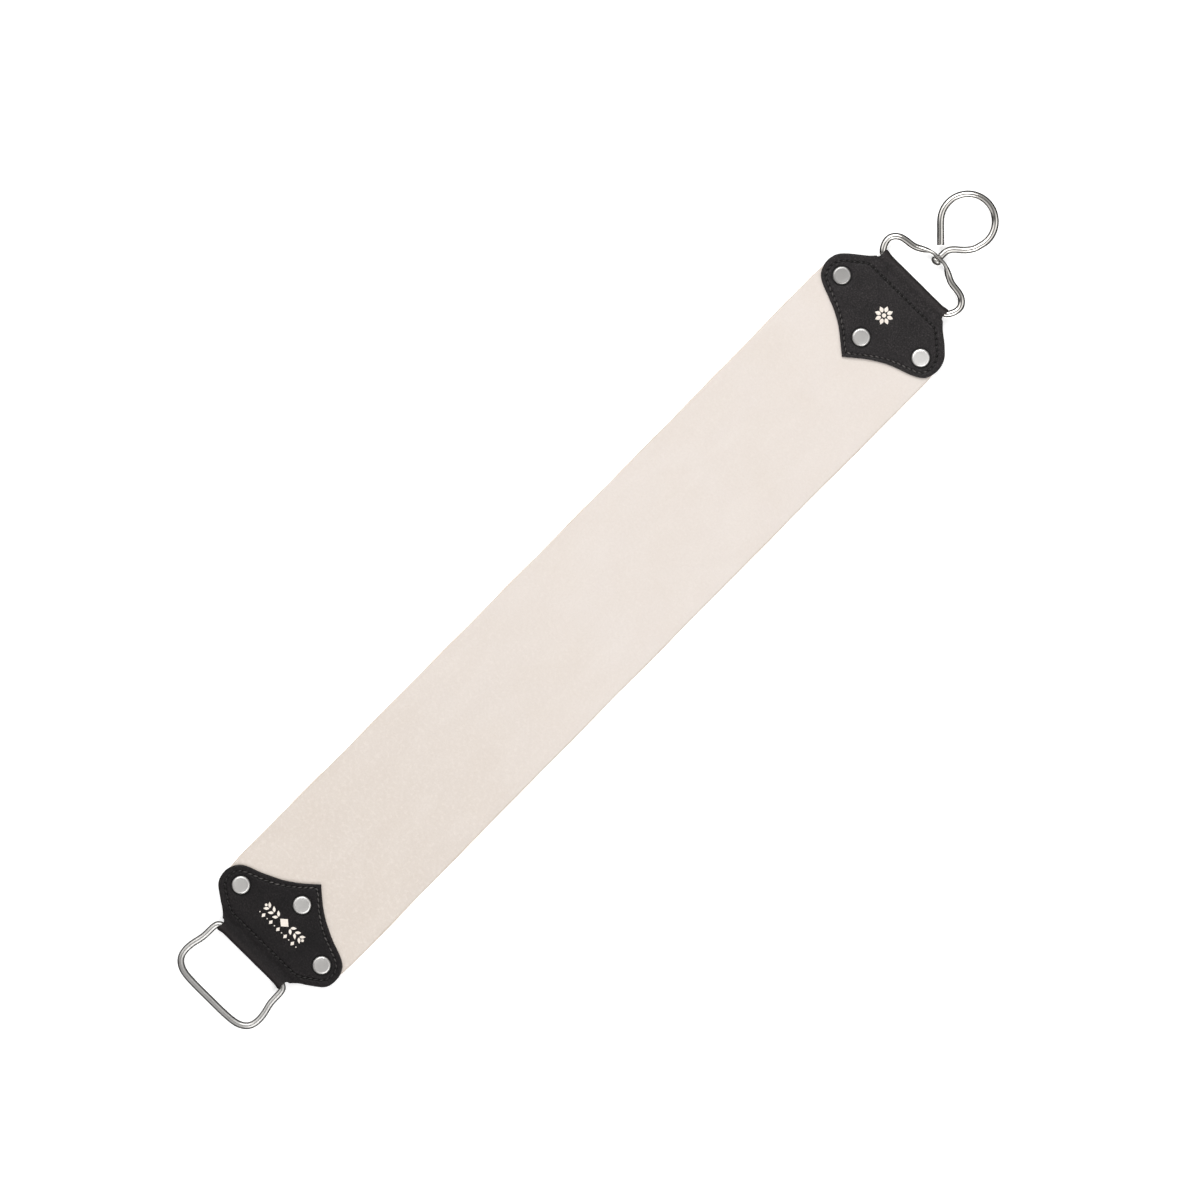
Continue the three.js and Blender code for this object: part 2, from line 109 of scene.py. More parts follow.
TOP_SEAM = [
    (9.0, 0), (9.0, 6), (9.0, 12), (9.0, 17), (9.3, 19.6), (10.6, 21.4), (12.1, 23.1), (13.5, 24.8), (15.1, 26.8), (16.9, 28.5),
    (18.9, 29.6), (21.2, 30.1), (23.3, 29.9), (25.1, 29.2), (26.5, 28.1), (27.4, 26.4), (28.3, 24.0), (29.4, 21.2),
    (30.6, 18.1), (32.0, 15.0), (33.7, 12.0), (35.6, 9.2), (37.6, 6.5), (39.6, 4.1), (41.3, 2.0), (42.5, 0),
]
BOTTOM_SEAM = [
    (9.0, 0), (9.0, 6), (9.0, 12), (9.0, 17), (9.3, 19.4), (10.2, 21.2), (11.5, 23.3), (12.9, 25.4), (14.2, 27.4), (15.8, 29.0),
    (17.6, 29.9), (19.5, 30.2), (21.4, 29.9), (23.0, 29.1), (24.3, 27.8), (25.3, 26.0), (26.3, 23.6), (27.4, 20.8),
    (28.6, 17.8), (30.1, 14.7), (31.8, 11.8), (33.8, 8.9), (35.9, 6.2), (38.1, 3.8), (40.0, 1.8), (41.2, 0),
]
BAIL_LINE = [
    (0.5, 197.8), (10, 197.8), (16.4, 197.8), (17.9, 198.05), (19.15, 199.1), (20.1, 200.6), (20.75, 202.2),
    (20.95, 203.7), (20.75, 205.1), (20.1, 206.3), (19.1, 207.3), (17.9, 208.1), (16.2, 208.65), (14, 208.98),
    (12, 209.2), (11, 209.4), (10, 209.75), (9, 210.25), (8, 210.8), (7, 211.35), (6, 211.9), (5, 212.4), (4, 212.8),
    (3, 213.05), (1.5, 213.1), (0, 213.1),
]
HANDLE_LINE = [
    (0.5, -197.8), (10, -197.8), (16.4, -197.8), (17.7, -197.95), (18.8, -198.55), (19.5, -199.7), (19.72, -201.5),
    (19.75, -204), (19.82, -206), (20.1, -208), (20.6, -210), (21.05, -212), (21.3, -214), (21.32, -216), (21.0, -218),
    (20.45, -219.4), (19.6, -220.6), (18.4, -221.6), (16.5, -222.6), (14.5, -223.1), (12, -223.4), (8, -223.58),
    (0, -223.6),
]
HOOK_CENTRE, HOOK_R = (-2.25, 232.8), 11.5
TRUMPET = [(15.2, 1.58), (16.0, 1.63), (16.7, 1.86), (17.3, 2.18), (17.8, 2.46), (18.4, 2.6), (19.0, 2.7)]


# ---- small numeric helpers ----
def smoothstep(a, b, t):
    u = np.clip((np.asarray(t, float) - a) / (b - a), 0, 1)
    return u * u * (3 - 2 * u)


def waves(x, y, size, seed, count=9):
    """Smooth fixed noise between about -1 and 1, with features of the given size."""
    rng = np.random.default_rng(seed)
    total = np.zeros(np.broadcast(x, y).shape)
    for _ in range(count):
        a, ph = rng.uniform(0, 2 * math.pi, 2)
        f = 2 * math.pi / size * rng.uniform(0.55, 1.5)
        total = total + np.sin((x * math.cos(a) + y * math.sin(a)) * f + ph)
    return total / math.sqrt(count) / 1.4


def catmull(points, closed=False, per=24):
    """Centripetal Catmull-Rom line through the points."""
    pts = [np.array(p, float) for p in points]
    if closed:
        pts = [pts[-1]] + pts + [pts[0], pts[1]]
    else:
        pts = [2 * pts[0] - pts[1]] + pts + [2 * pts[-1] - pts[-2]]
    out = []
    for i in range(1, len(pts) - 2):
        p0, p1, p2, p3 = pts[i - 1 : i + 3]
        t0 = 0.0
        t1 = t0 + max(np.linalg.norm(p1 - p0), 1e-6) ** 0.5
        t2 = t1 + max(np.linalg.norm(p2 - p1), 1e-6) ** 0.5
        t3 = t2 + max(np.linalg.norm(p3 - p2), 1e-6) ** 0.5
        for t in np.linspace(t1, t2, per, endpoint=False):
            a1 = (t1 - t) / (t1 - t0) * p0 + (t - t0) / (t1 - t0) * p1
            a2 = (t2 - t) / (t2 - t1) * p1 + (t - t1) / (t2 - t1) * p2
            a3 = (t3 - t) / (t3 - t2) * p2 + (t - t2) / (t3 - t2) * p3
            b1 = (t2 - t) / (t2 - t0) * a1 + (t - t0) / (t2 - t0) * a2
            b2 = (t3 - t) / (t3 - t1) * a2 + (t - t1) / (t3 - t1) * a3
            out.append((t2 - t) / (t2 - t1) * b1 + (t - t1) / (t2 - t1) * b2)
    if not closed:
        out.append(pts[-2])
    return np.array(out)


def resample(line, step=None, count=None, closed=False):
    pts = np.vstack([line, line[:1]]) if closed else line
    d = np.concatenate([[0], np.cumsum(np.linalg.norm(np.diff(pts, axis=0), axis=1))])
    n = count or max(2, int(round(d[-1] / step)))
    t = np.linspace(0, d[-1], n + 1)
    out = np.stack([np.interp(t, d, pts[:, k]) for k in range(pts.shape[1])], axis=1)
    return out[:-1] if closed else out


def blur(line, sigma, closed=False):
    """Gaussian smoothing of an evenly sampled line; sigma is counted in samples."""
    n = int(math.ceil(sigma * 3))
    k = np.exp(-0.5 * (np.arange(-n, n + 1) / sigma) ** 2)
    k /= k.sum()
    if closed:
        ext = np.vstack([line[-n:], line, line[:n]])
    else:
        ext = np.vstack([2 * line[0] - line[1 : n + 1][::-1], line, 2 * line[-1] - line[-n - 1 : -1][::-1]])
    return np.stack([np.convolve(ext[:, c], k, mode="valid") for c in range(line.shape[1])], axis=1)


def distance_to_line(px, py, line, closed=False):
    """Distance of each point to a polyline."""
    a = line
    b = np.roll(line, -1, axis=0) if closed else line[1:]
    if not closed:
        a = line[:-1]
    best = np.full(len(px), 1e9)
    for (ax, ay), (bx, by) in zip(a, b):
        dx, dy = bx - ax, by - ay
        l2 = dx * dx + dy * dy + 1e-12
        t = np.clip(((px - ax) * dx + (py - ay) * dy) / l2, 0, 1)
        best = np.minimum(best, np.hypot(px - ax - t * dx, py - ay - t * dy))
    return best


def within(q, line):
    """Which points lie inside a closed outline, by counting crossings."""
    inside = np.zeros(len(q), bool)
    for (x0, y0), (x1, y1) in zip(line, np.roll(line, -1, axis=0)):
        if y0 != y1:
            inside ^= ((y0 > q[:, 1]) != (y1 > q[:, 1])) & (q[:, 0] < (x1 - x0) * (q[:, 1] - y0) / (y1 - y0) + x0)
    return inside


def make_mesh(name, verts, faces, material, sharp_deg=None, attributes=None, uv=None):
    """A piece from millimetre vertices. Faces are turned outwards."""
    co = np.asarray(verts, float)
    volume = 0.0
    for f in faces:
        a = co[f[0]]
        for i in range(1, len(f) - 1):
            volume += np.dot(a, np.cross(co[f[i]], co[f[i + 1]]))
    if volume < 0:
        faces = [list(reversed(f)) for f in faces]
        if uv is not None:
            uv = [list(reversed(u)) for u in uv]
    me = bpy.data.meshes.new(name)
    me.from_pydata([tuple(v) for v in co * MM], [], [tuple(f) for f in faces])
    me.polygons.foreach_set("use_smooth", [True] * len(me.polygons))
    for key, values in (attributes or {}).items():
        at = me.attributes.new(key, "FLOAT", "POINT")
        at.data.foreach_set("value", np.asarray(values, np.float32))
    if uv is not None:
        layer = me.uv_layers.new(name="UVMap")
        layer.data.foreach_set("uv", [c for u in uv for point in u for c in point])
    me.update()
    if sharp_deg:
        me.set_sharp_from_angle(angle=math.radians(sharp_deg))
    ob = bpy.data.objects.new(name, me)
    scene.collection.objects.link(ob)
    me.materials.append(material)
    return ob


def place(piece, body, slot=None, *nodes):
    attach(piece, body)
    if nodes:
        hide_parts(*nodes)
    return piece


# ---- procedural materials ----
class Graph:
    """A short way to write a node material."""

    def __init__(self, name):
        self.material = bpy.data.materials.new(name)
        self.material.use_nodes = True
        self.tree = self.material.node_tree
        self.tree.nodes.clear()

    def node(self, kind, inputs=None, **props):
        n = self.tree.nodes.new("ShaderNode" + kind)
        for k, v in props.items():
            setattr(n, k, v)
        for k, v in (inputs or {}).items():
            if isinstance(v, bpy.types.NodeSocket):
                self.tree.links.new(v, n.inputs[k])
            else:
                n.inputs[k].default_value = v
        return n

    def place_coords(self, scale=(1, 1, 1), rotation=(0, 0, 0), source="Object"):
        tc = self.node("TexCoord")
        return self.node("Mapping", {"Vector": tc.outputs[source], "Scale": scale, "Rotation": rotation}).outputs[0]

    def noise(self, vector, size_mm, detail=3.0, rough=0.5, distort=0.0):
        return self.node("TexNoise", {"Vector": vector, "Scale": 1000.0 / size_mm, "Detail": detail, "Roughness": rough, "Distortion": distort}).outputs[0]

    def cells(self, vector, size_mm, feature="F1", randomness=1.0):
        return self.node("TexVoronoi", {"Vector": vector, "Scale": 1000.0 / size_mm, "Randomness": randomness}, feature=feature).outputs["Distance"]

    def span(self, value, lo, hi, to_lo=0.0, to_hi=1.0, smooth=False):
        return self.node("MapRange", {"Value": value, "From Min": lo, "From Max": hi, "To Min": to_lo, "To Max": to_hi},
                         interpolation_type="SMOOTHSTEP" if smooth else "LINEAR").outputs[0]

    def calc(self, op, a, b=0.0, clamp=False):
        return self.node("Math", {0: a, 1: b}, operation=op, use_clamp=clamp).outputs[0]

    def mix(self, factor, a, b, blend="MIX"):
        n = self.node("Mix", {0: factor, 6: a, 7: b}, data_type="RGBA", blend_type=blend)
        return n.outputs[2]

    def attribute(self, name):
        return self.node("Attribute", attribute_name=name).outputs["Fac"]

    def attribute_colour(self, name):
        return self.node("CombineColor", {0: self.attribute(name), 1: self.attribute(name), 2: self.attribute(name)}).outputs[0]

    def bump(self, height, distance_mm, strength=1.0, normal=None):
        inputs = {"Height": height, "Distance": distance_mm * MM, "Strength": strength}
        if normal is not None:
            inputs["Normal"] = normal
        return self.node("Bump", inputs).outputs[0]

    def finish(self, **inputs):
        named = {k.replace("_", " "): v for k, v in inputs.items()}
        shader = self.node("BsdfPrincipled", named)
        out = self.node("OutputMaterial")
        self.tree.links.new(shader.outputs[0], out.inputs[0])
        return self.material


def rgb(r, g, b):
    """sRGB 0-255 as linear."""
    def lin(c):
        c /= 255
        return c / 12.92 if c <= 0.04045 else ((c + 0.055) / 1.055) ** 2.4
    return (lin(r), lin(g), lin(b), 1.0)


def strap_material():
    g = Graph("strap_leather")
    at = g.place_coords()
    along = g.node("SeparateXYZ", {0: at}).outputs[1]
    down = g.span(along, 0.03, -0.17, 0.0, 1.0, smooth=True)
    base = g.mix(down, rgb(215.5, 207.5, 202), rgb(207.5, 198.5, 191))
    cloud = g.noise(at, 34, 3.0, 0.55, 0.4)
    base = g.mix(g.span(cloud, 0.35, 0.72, 0.0, 0.45), base, rgb(209, 199, 189.5))
    patch = g.noise(g.place_coords(scale=(1.0, 0.45, 1.0)), 11, 4.0, 0.6, 0.8)
    base = g.mix(g.span(patch, 0.42, 0.75, 0.0, 0.3), base, rgb(222, 215, 209))
    fine = g.noise(at, 0.9, 3.0, 0.65)
    base = g.mix(g.calc("MULTIPLY", g.span(fine, 0.3, 0.75, 0.0, 1.0), g.span(down, 0.0, 1.0, 0.2, 0.36)), base, rgb(192, 178, 163))
    pale = g.noise(at, 1.7, 3.0, 0.7)
    base = g.mix(g.calc("MULTIPLY", g.span(pale, 0.5, 0.75, 0.0, 1.0), g.span(down, 0.0, 1.0, 0.2, 0.42)), base, rgb(229, 221, 214))
    pores = g.cells(at, 0.75)
    pit = g.span(pores, 0.05, 0.22, 1.0, 0.0, smooth=True)
    base = g.mix(g.calc("MULTIPLY", pit, 0.16), base, rgb(176, 158, 140))
    edge = g.attribute("edge")
    fibre = g.noise(g.place_coords(scale=(0.25, 0.25, 3.0)), 1.2, 4.0, 0.7)
    base = g.mix(g.calc("MULTIPLY", edge, g.span(fibre, 0.25, 0.7, 0.35, 0.85), clamp=True), base, rgb(184, 164, 142))
    back = g.attribute("back")
    nap = g.noise(at, 1.6, 5.0, 0.7)
    base = g.mix(g.calc("MULTIPLY", back, g.span(nap, 0.25, 0.75, 0.35, 0.8)), base, rgb(192, 175, 155))
    rough = g.calc("ADD", g.span(cloud, 0.3, 0.7, 0.5, 0.6), g.calc("MULTIPLY", g.calc("ADD", back, edge), 0.18))
    n1 = g.bump(g.noise(at, 7.0, 3.0, 0.5), 0.12, 0.5)
    n2 = g.bump(g.calc("ADD", g.calc("MULTIPLY", pit, -0.7), fine), 0.03, 0.55, n1)
    n3 = g.bump(g.calc("MULTIPLY", nap, back), 0.12, 0.8, n2)
    return g.finish(Base_Color=base, Roughness=rough, Normal=n3, IOR=1.42, Specular_IOR_Level=0.42, Sheen_Weight=0.04, Sheen_Roughness=0.5)


def cap_material(name, dark, light, shine, grain):
    g = Graph(name)
    at = g.place_coords()
    warp = g.node("VectorMath", {0: at, 1: g.node("VectorMath", {0: g.node("TexNoise", {"Vector": at, "Scale": 900.0, "Detail": 2.0}).outputs["Color"], 1: (0.00035,) * 3}, operation="MULTIPLY").outputs[0]}, operation="ADD").outputs[0]
    creases = g.cells(warp, 0.85, "DISTANCE_TO_EDGE")
    crease_shade = g.span(creases, 0.0, 0.16, 1.0, 0.0, smooth=True)
    hair = g.cells(at, 1.1)
    speck = g.noise(at, 0.62, 3.0, 0.7)
    cloud = g.noise(at, 9.0, 4.0, 0.6, 0.5)
    base = g.mix(g.span(cloud, 0.35, 0.7), dark, light)
    base = g.mix(g.calc("MULTIPLY", g.span(speck, 0.5, 0.70, 0.0, grain), g.span(cloud, 0.3, 0.7, 0.5, 1.0)), base, tuple(3.3 * (0.5 * c + 0.5 * light[1]) for c in light[:3]) + (1,))
    base = g.mix(g.span(speck, 0.5, 0.32, 0.0, grain), base, tuple(0.3 * c for c in dark[:3]) + (1,))
    # Painted shade: the colour is darkened along the grain creases.
    base = g.mix(g.calc("MULTIPLY", crease_shade, 0.6), base, tuple(0.45 * c for c in dark[:3]) + (1,))
    edge = g.attribute("edge")
    wear = g.calc("MULTIPLY", edge, g.span(g.noise(at, 3.2, 4.0, 0.65), 0.45, 0.75, 0.0, 0.6), clamp=True)
    base = g.mix(wear, base, rgb(72, 66, 65))
    # Painted highlight: the colour is lightened along the rounded fold.
    fold = g.attribute("fold")
    base = g.mix(g.calc("MULTIPLY", fold, 0.3), base, rgb(58, 53, 53))
    # Painted shade: near-black in the stitch holes and in a ring round each rivet.
    base = g.mix(g.attribute("hole_and_rivet_shade"), base, (0.0012, 0.001, 0.001, 1))
    rough = g.span(speck, 0.3, 0.7, 0.44, 0.60)
    rough = g.calc("SUBTRACT", rough, g.calc("MULTIPLY", edge, 0.08))
    height = g.calc("SUBTRACT", g.calc("MULTIPLY", creases, 1.2), g.calc("MULTIPLY", g.span(hair, 0.0, 0.25, 1.0, 0.0), 0.25))
    n1 = g.bump(g.noise(at, 4.5, 3.0, 0.5), 0.10, 0.5)
    n2 = g.bump(height, 0.10, 0.8, n1)
    n3 = g.bump(speck, 0.07, 0.9, n2)
    return g.finish(Base_Color=base, Roughness=rough, Normal=n3, IOR=1.45, Specular_IOR_Level=shine)


def metal_material(name, tint, rough_lo, rough_hi, lines=0.4, uv=True):
    g = Graph(name)
    at = g.place_coords()
    cloud = g.noise(at, 5.0, 4.0, 0.6)
    spots = g.noise(at, 0.5, 3.0, 0.7)
    if uv:
        drawn = g.noise(g.place_coords(scale=(0.0016, 0.02, 1.0), source="UV"), 1.0, 4.0, 0.65)
    else:
        drawn = g.noise(at, 0.35, 4.0, 0.65)
    base = g.mix(g.span(cloud, 0.3, 0.75, 0.0, 0.5), tint, tuple(0.82 * c for c in tint[:3]) + (1,))
    base = g.mix(g.span(spots, 0.62, 0.8, 0.0, 0.35), base, tuple(0.6 * c for c in tint[:3]) + (1,))
    # Rivets: the colour is scaled by a painted gleam, for how brightly each one catches the light.
    if not uv:
        base = g.mix(1.0, base, g.attribute_colour("painted_gleam"), "MULTIPLY")
    rough = g.span(g.calc("ADD", g.calc("MULTIPLY", cloud, 0.5), g.calc("MULTIPLY", drawn, 0.5)), 0.3, 0.7, rough_lo, rough_hi)
    # Where the wire was hammered or headed over it is less smooth; there and along the hook's shank the colour is
    # darkened as painted shade, for dimmer reflections.
    base = g.mix(g.calc("MULTIPLY", g.attribute("dull_and_shade"), 0.55, clamp=True), base, tuple(0.42 * c for c in tint[:3]) + (1,))
    rough = g.calc("ADD", rough, g.calc("MULTIPLY", g.attribute("dull_and_shade"), 0.2))
    n1 = g.bump(drawn, 0.02, lines)
    n2 = g.bump(g.noise(at, 2.4, 2.0, 0.5), 0.05, 0.25, n1)
    return g.finish(Base_Color=base, Roughness=rough, Normal=n2, Metallic=1.0)


def thread_material():
    g = Graph("seam_thread")
    # Three plies wound round each other, from the thread's own length and angle.
    uv = g.node("SeparateXYZ", {0: g.place_coords(source="UV")})
    wind = g.calc("SINE", g.calc("ADD", g.calc("MULTIPLY", uv.outputs[0], 5.2), g.calc("MULTIPLY", uv.outputs[1], 6.2832 * 3)))
    ply = g.span(wind, -1, 1)
    at = g.place_coords()
    fuzz = g.noise(at, 0.25, 4.0, 0.7)
    # Painted shade: the grooves between the plies are darker and the crests lighter.
    base = g.mix(ply, rgb(14, 13, 13), rgb(34, 31, 31))
    base = g.mix(g.span(fuzz, 0.5, 0.75, 0.0, 0.35), base, rgb(64, 60, 60))
    # Painted highlights: glints on the stitch tops.
    base = g.mix(g.attribute("stitch_glint"), base, rgb(90, 86, 85))
    n = g.bump(g.calc("ADD", ply, g.calc("MULTIPLY", fuzz, 0.5)), 0.06, 0.8)
    return g.finish(Base_Color=base, Roughness=g.span(fuzz, 0.3, 0.7, 0.34, 0.5), Normal=n, Specular_IOR_Level=0.4)


def foil_material():
    g = Graph("cream_foil")
    at = g.place_coords()
    grain = g.noise(at, 0.5, 4.0, 0.7)
    cloud = g.noise(at, 2.5, 3.0, 0.6)
    base = g.mix(g.span(cloud, 0.3, 0.7), rgb(238, 230, 221), rgb(222, 213, 203))
    base = g.mix(g.span(grain, 0.62, 0.8, 0.0, 0.6), base, rgb(150, 140, 132))
    n = g.bump(grain, 0.03, 0.5)
    return g.finish(Base_Color=base, Roughness=g.span(grain, 0.3, 0.7, 0.35, 0.5), Normal=n)


LEATHER = strap_material()
TOP_CAP = cap_material("cap_leather_top", rgb(28, 25, 26), rgb(37, 33, 34), 0.26, 0.95)
BOTTOM_CAP = cap_material("cap_leather_bottom", rgb(18, 15.5, 16.5), rgb(27, 23.5, 24.5), 0.20, 0.7)
BRIGHT = metal_material("bright_nickel", (0.71, 0.69, 0.66, 1), 0.08, 0.16, 0.3)
SATIN = metal_material("satin_nickel", (0.50, 0.492, 0.479, 1), 0.30, 0.45, 0.6)
RIVET = metal_material("rivet_nickel", (0.66, 0.648, 0.632, 1), 0.36, 0.48, 0.4, uv=False)
THREAD = thread_material()
FOIL = foil_material()


# ---- strap: one thick strip with rounded, slightly wavy edges, thinned where it goes into each cap ----
def build_strap():
    n = 220
    ys = np.linspace(-STRAP_END, STRAP_END, n)
    top_tab = [(0.0, 22.0), (8, 22.6), (9, 23.7), (10, 24.95), (11.5, 26.8), (13, 28.5), (14, 29.5), (15, 30.3), (16, 30.9), (17, 31.35), (19, 32.0), (22, 32.4), (30, 32.55)]
    low_tab = [(0.0, 22.0), (8, 22.8), (9, 24.1), (10, 25.5), (11, 27.0), (12, 28.4), (13, 29.6), (14, 30.5), (15, 31.1), (16, 31.5), (18, 32.0), (21, 32.4), (30, 32.55)]
    verts, edge, back, faces = [], [], [], []
    rings = []
    for y in ys:
        s = FOLD_Y - abs(y)
        tab = top_tab if y > 0 else low_tab
        w = float(np.interp(s, [t[0] for t in tab], [t[1] for t in tab]))
        if s > 22:
            w = HALF_WIDTH + 0.35 * float(smoothstep(95, 165, abs(y))) * float(smoothstep(22, 30, s))
        t = float(np.interp(s, [7.8, 10.6], [0.5, 1.5]))
        ring = []
        for side in (1, -1):
            wobble = 0.10 * waves(y, side * 50.0, 46, 3) + 0.04 * waves(y, side * 9.0, 11, 4)
            fade = float(smoothstep(20, 40, s))
            ws = w + float(wobble) * fade
            r = min(0.75, t * 0.8)
            arc = [(ws - r + r * math.sin(a), t - r + r * math.cos(a)) for a in np.linspace(0, math.pi / 2, 7)]
            half = arc + [(ws + 0.02, 0.0)] + [(x, -z) for x, z in reversed(arc)]
            ring.append([(side * x, z) for x, z in half])
        xr, xl = ring[0][0][0], ring[1][0][0]
        top = [(x, t) for x in np.linspace(xl, xr, 34)[1:-1]]
        bottom = [(x, -t) for x in np.linspace(xr, xl, 34)[1:-1]]
        loop = top + ring[0] + bottom + list(reversed(ring[1]))
        start = len(verts)
        for x, z in loop:
            lift = 0.035 * float(waves(x, y, 38, 7)) if z > 0 else 0.05 * float(waves(x, y, 30, 8))
            inner = float(smoothstep(0.0, 6.0, HALF_WIDTH - abs(x))) * float(smoothstep(14, 60, s))
            verts.append((x, y, MID + z + lift * inner))
            e = 1.0 - float(smoothstep(-0.35, 0.6, w - abs(x) - 0.05))
            edge.append(min(1.0, max(0.0, e)))
            back.append(1.0 if z < -0.9 * t and abs(x) < w - 0.5 else 0.0)
        rings.append(range(start, len(verts)))
    k = len(rings[0])
    for a, b in zip(rings, rings[1:]):
        for i in range(k):
            j = (i + 1) % k
            faces.append([a[i], a[j], b[j], b[i]])
    for ring, flip in ((rings[0], False), (rings[-1], True)):
        # The thinned end is closed as a strip of quads between its upper and lower lines.
        up = [ring[i] for i in range(0, 32)]
        low = [ring[i] for i in range(k - 15 - 32, k - 15)][::-1]
        right = [ring[i] for i in range(32, 47)]
        left = [ring[i] for i in range(k - 15, k)]
        loop = list(ring)
        f = [[up[i], low[i], low[i + 1], up[i + 1]] for i in range(31)]
        f.append([up[-1], low[-1]] + right[::-1])
        f.append([low[0], up[0]] + left[::-1])
        faces += [list(reversed(q)) for q in f] if flip else f
    ob = make_mesh("honing_strap", verts, faces, LEATHER, 50, {"edge": edge, "back": back})
    return place(ob, "strop", "strap_leather", "strap")


build_strap()


# ---- caps ----
def mirrored(half):
    right = [(x, y) for x, y in half]
    left = [(-x, y) for x, y in half[:-1]]
    return left + right[::-1]


QUARTER = FOLD_R * math.pi / 2


def p_of_s(s):
    """Distance along the outer face from the fold's outermost line, for a distance s in plan."""
    s = np.asarray(s, float)
    return np.where(s >= PIVOT_S, s - PIVOT_S + QUARTER, FOLD_R * np.arccos(np.clip((PIVOT_S - s) / FOLD_R, -1, 1)))


def face_height(s):
    """Height of a panel's outer face above the mid-plane: fold, pressed valley, flat panel."""
    s = np.asarray(s, float)
    return FOLD_R + (PANEL_Z - FOLD_R) * smoothstep(5.5, 10.5, s) - 0.42 * np.exp(-(((s - 5.9) / 1.55) ** 2))


def cap_frame(x, p):
    """Outer point, outward direction and leather thickness of the folded sheet at sheet position (x, p)."""
    ap, sign = np.abs(p), np.where(p >= 0, 1.0, -1.0)
    a = np.clip(ap / FOLD_R, 0, math.pi / 2)
    curved = ap < QUARTER
    s = np.where(curved, PIVOT_S - FOLD_R * np.cos(a), ap - QUARTER + PIVOT_S)
    z = np.where(curved, FOLD_R * np.sin(a), face_height(s))
    ns, nz = np.where(curved, -np.cos(a), 0.0), np.where(curved, np.sin(a), 1.0)
    th = np.interp(s, [0, 2.2, 3.2, 4.2, 6, 7.6, 8.8, 10.2, 46], [0.66, 0.66, 0.9, 1.05, 1.11, 1.25, 1.2, 1.17, 1.17])
    push = 0.5 * smoothstep(14.4, 18.6, np.abs(x))
    fade = np.where(s <= PIVOT_S, 1.0, np.clip(1 - (s - PIVOT_S) / 2.5, 0, 1))
    s2, z2 = s + ns * push * fade, z + nz * push * fade
    # The bore opens out like a trumpet at each end, for the wire's bend.
    bore = np.interp(np.abs(x), [t[0] for t in TRUMPET], [t[1] for t in TRUMPET], left=1.58)
    outer_r = np.hypot(s2 - PIVOT_S, z2)
    near = np.where(s2 < PIVOT_S + 2.2, 1.0, 0.0)
    th = np.where(near > 0, np.clip(np.minimum(th + push * fade, outer_r - bore), 0.18, 2), th)
    return s2, z2 * sign, ns, nz * sign, th


def askew(line, lean):
    """Leans a flat-pattern line: the panels sit a little crooked on the strap, but the fold stays square."""
    ap = np.abs(line[:, 1])
    return line + np.column_stack([0 * ap, np.sign(line[:, 1]) * lean * line[:, 0] * smoothstep(9, 24, ap)])


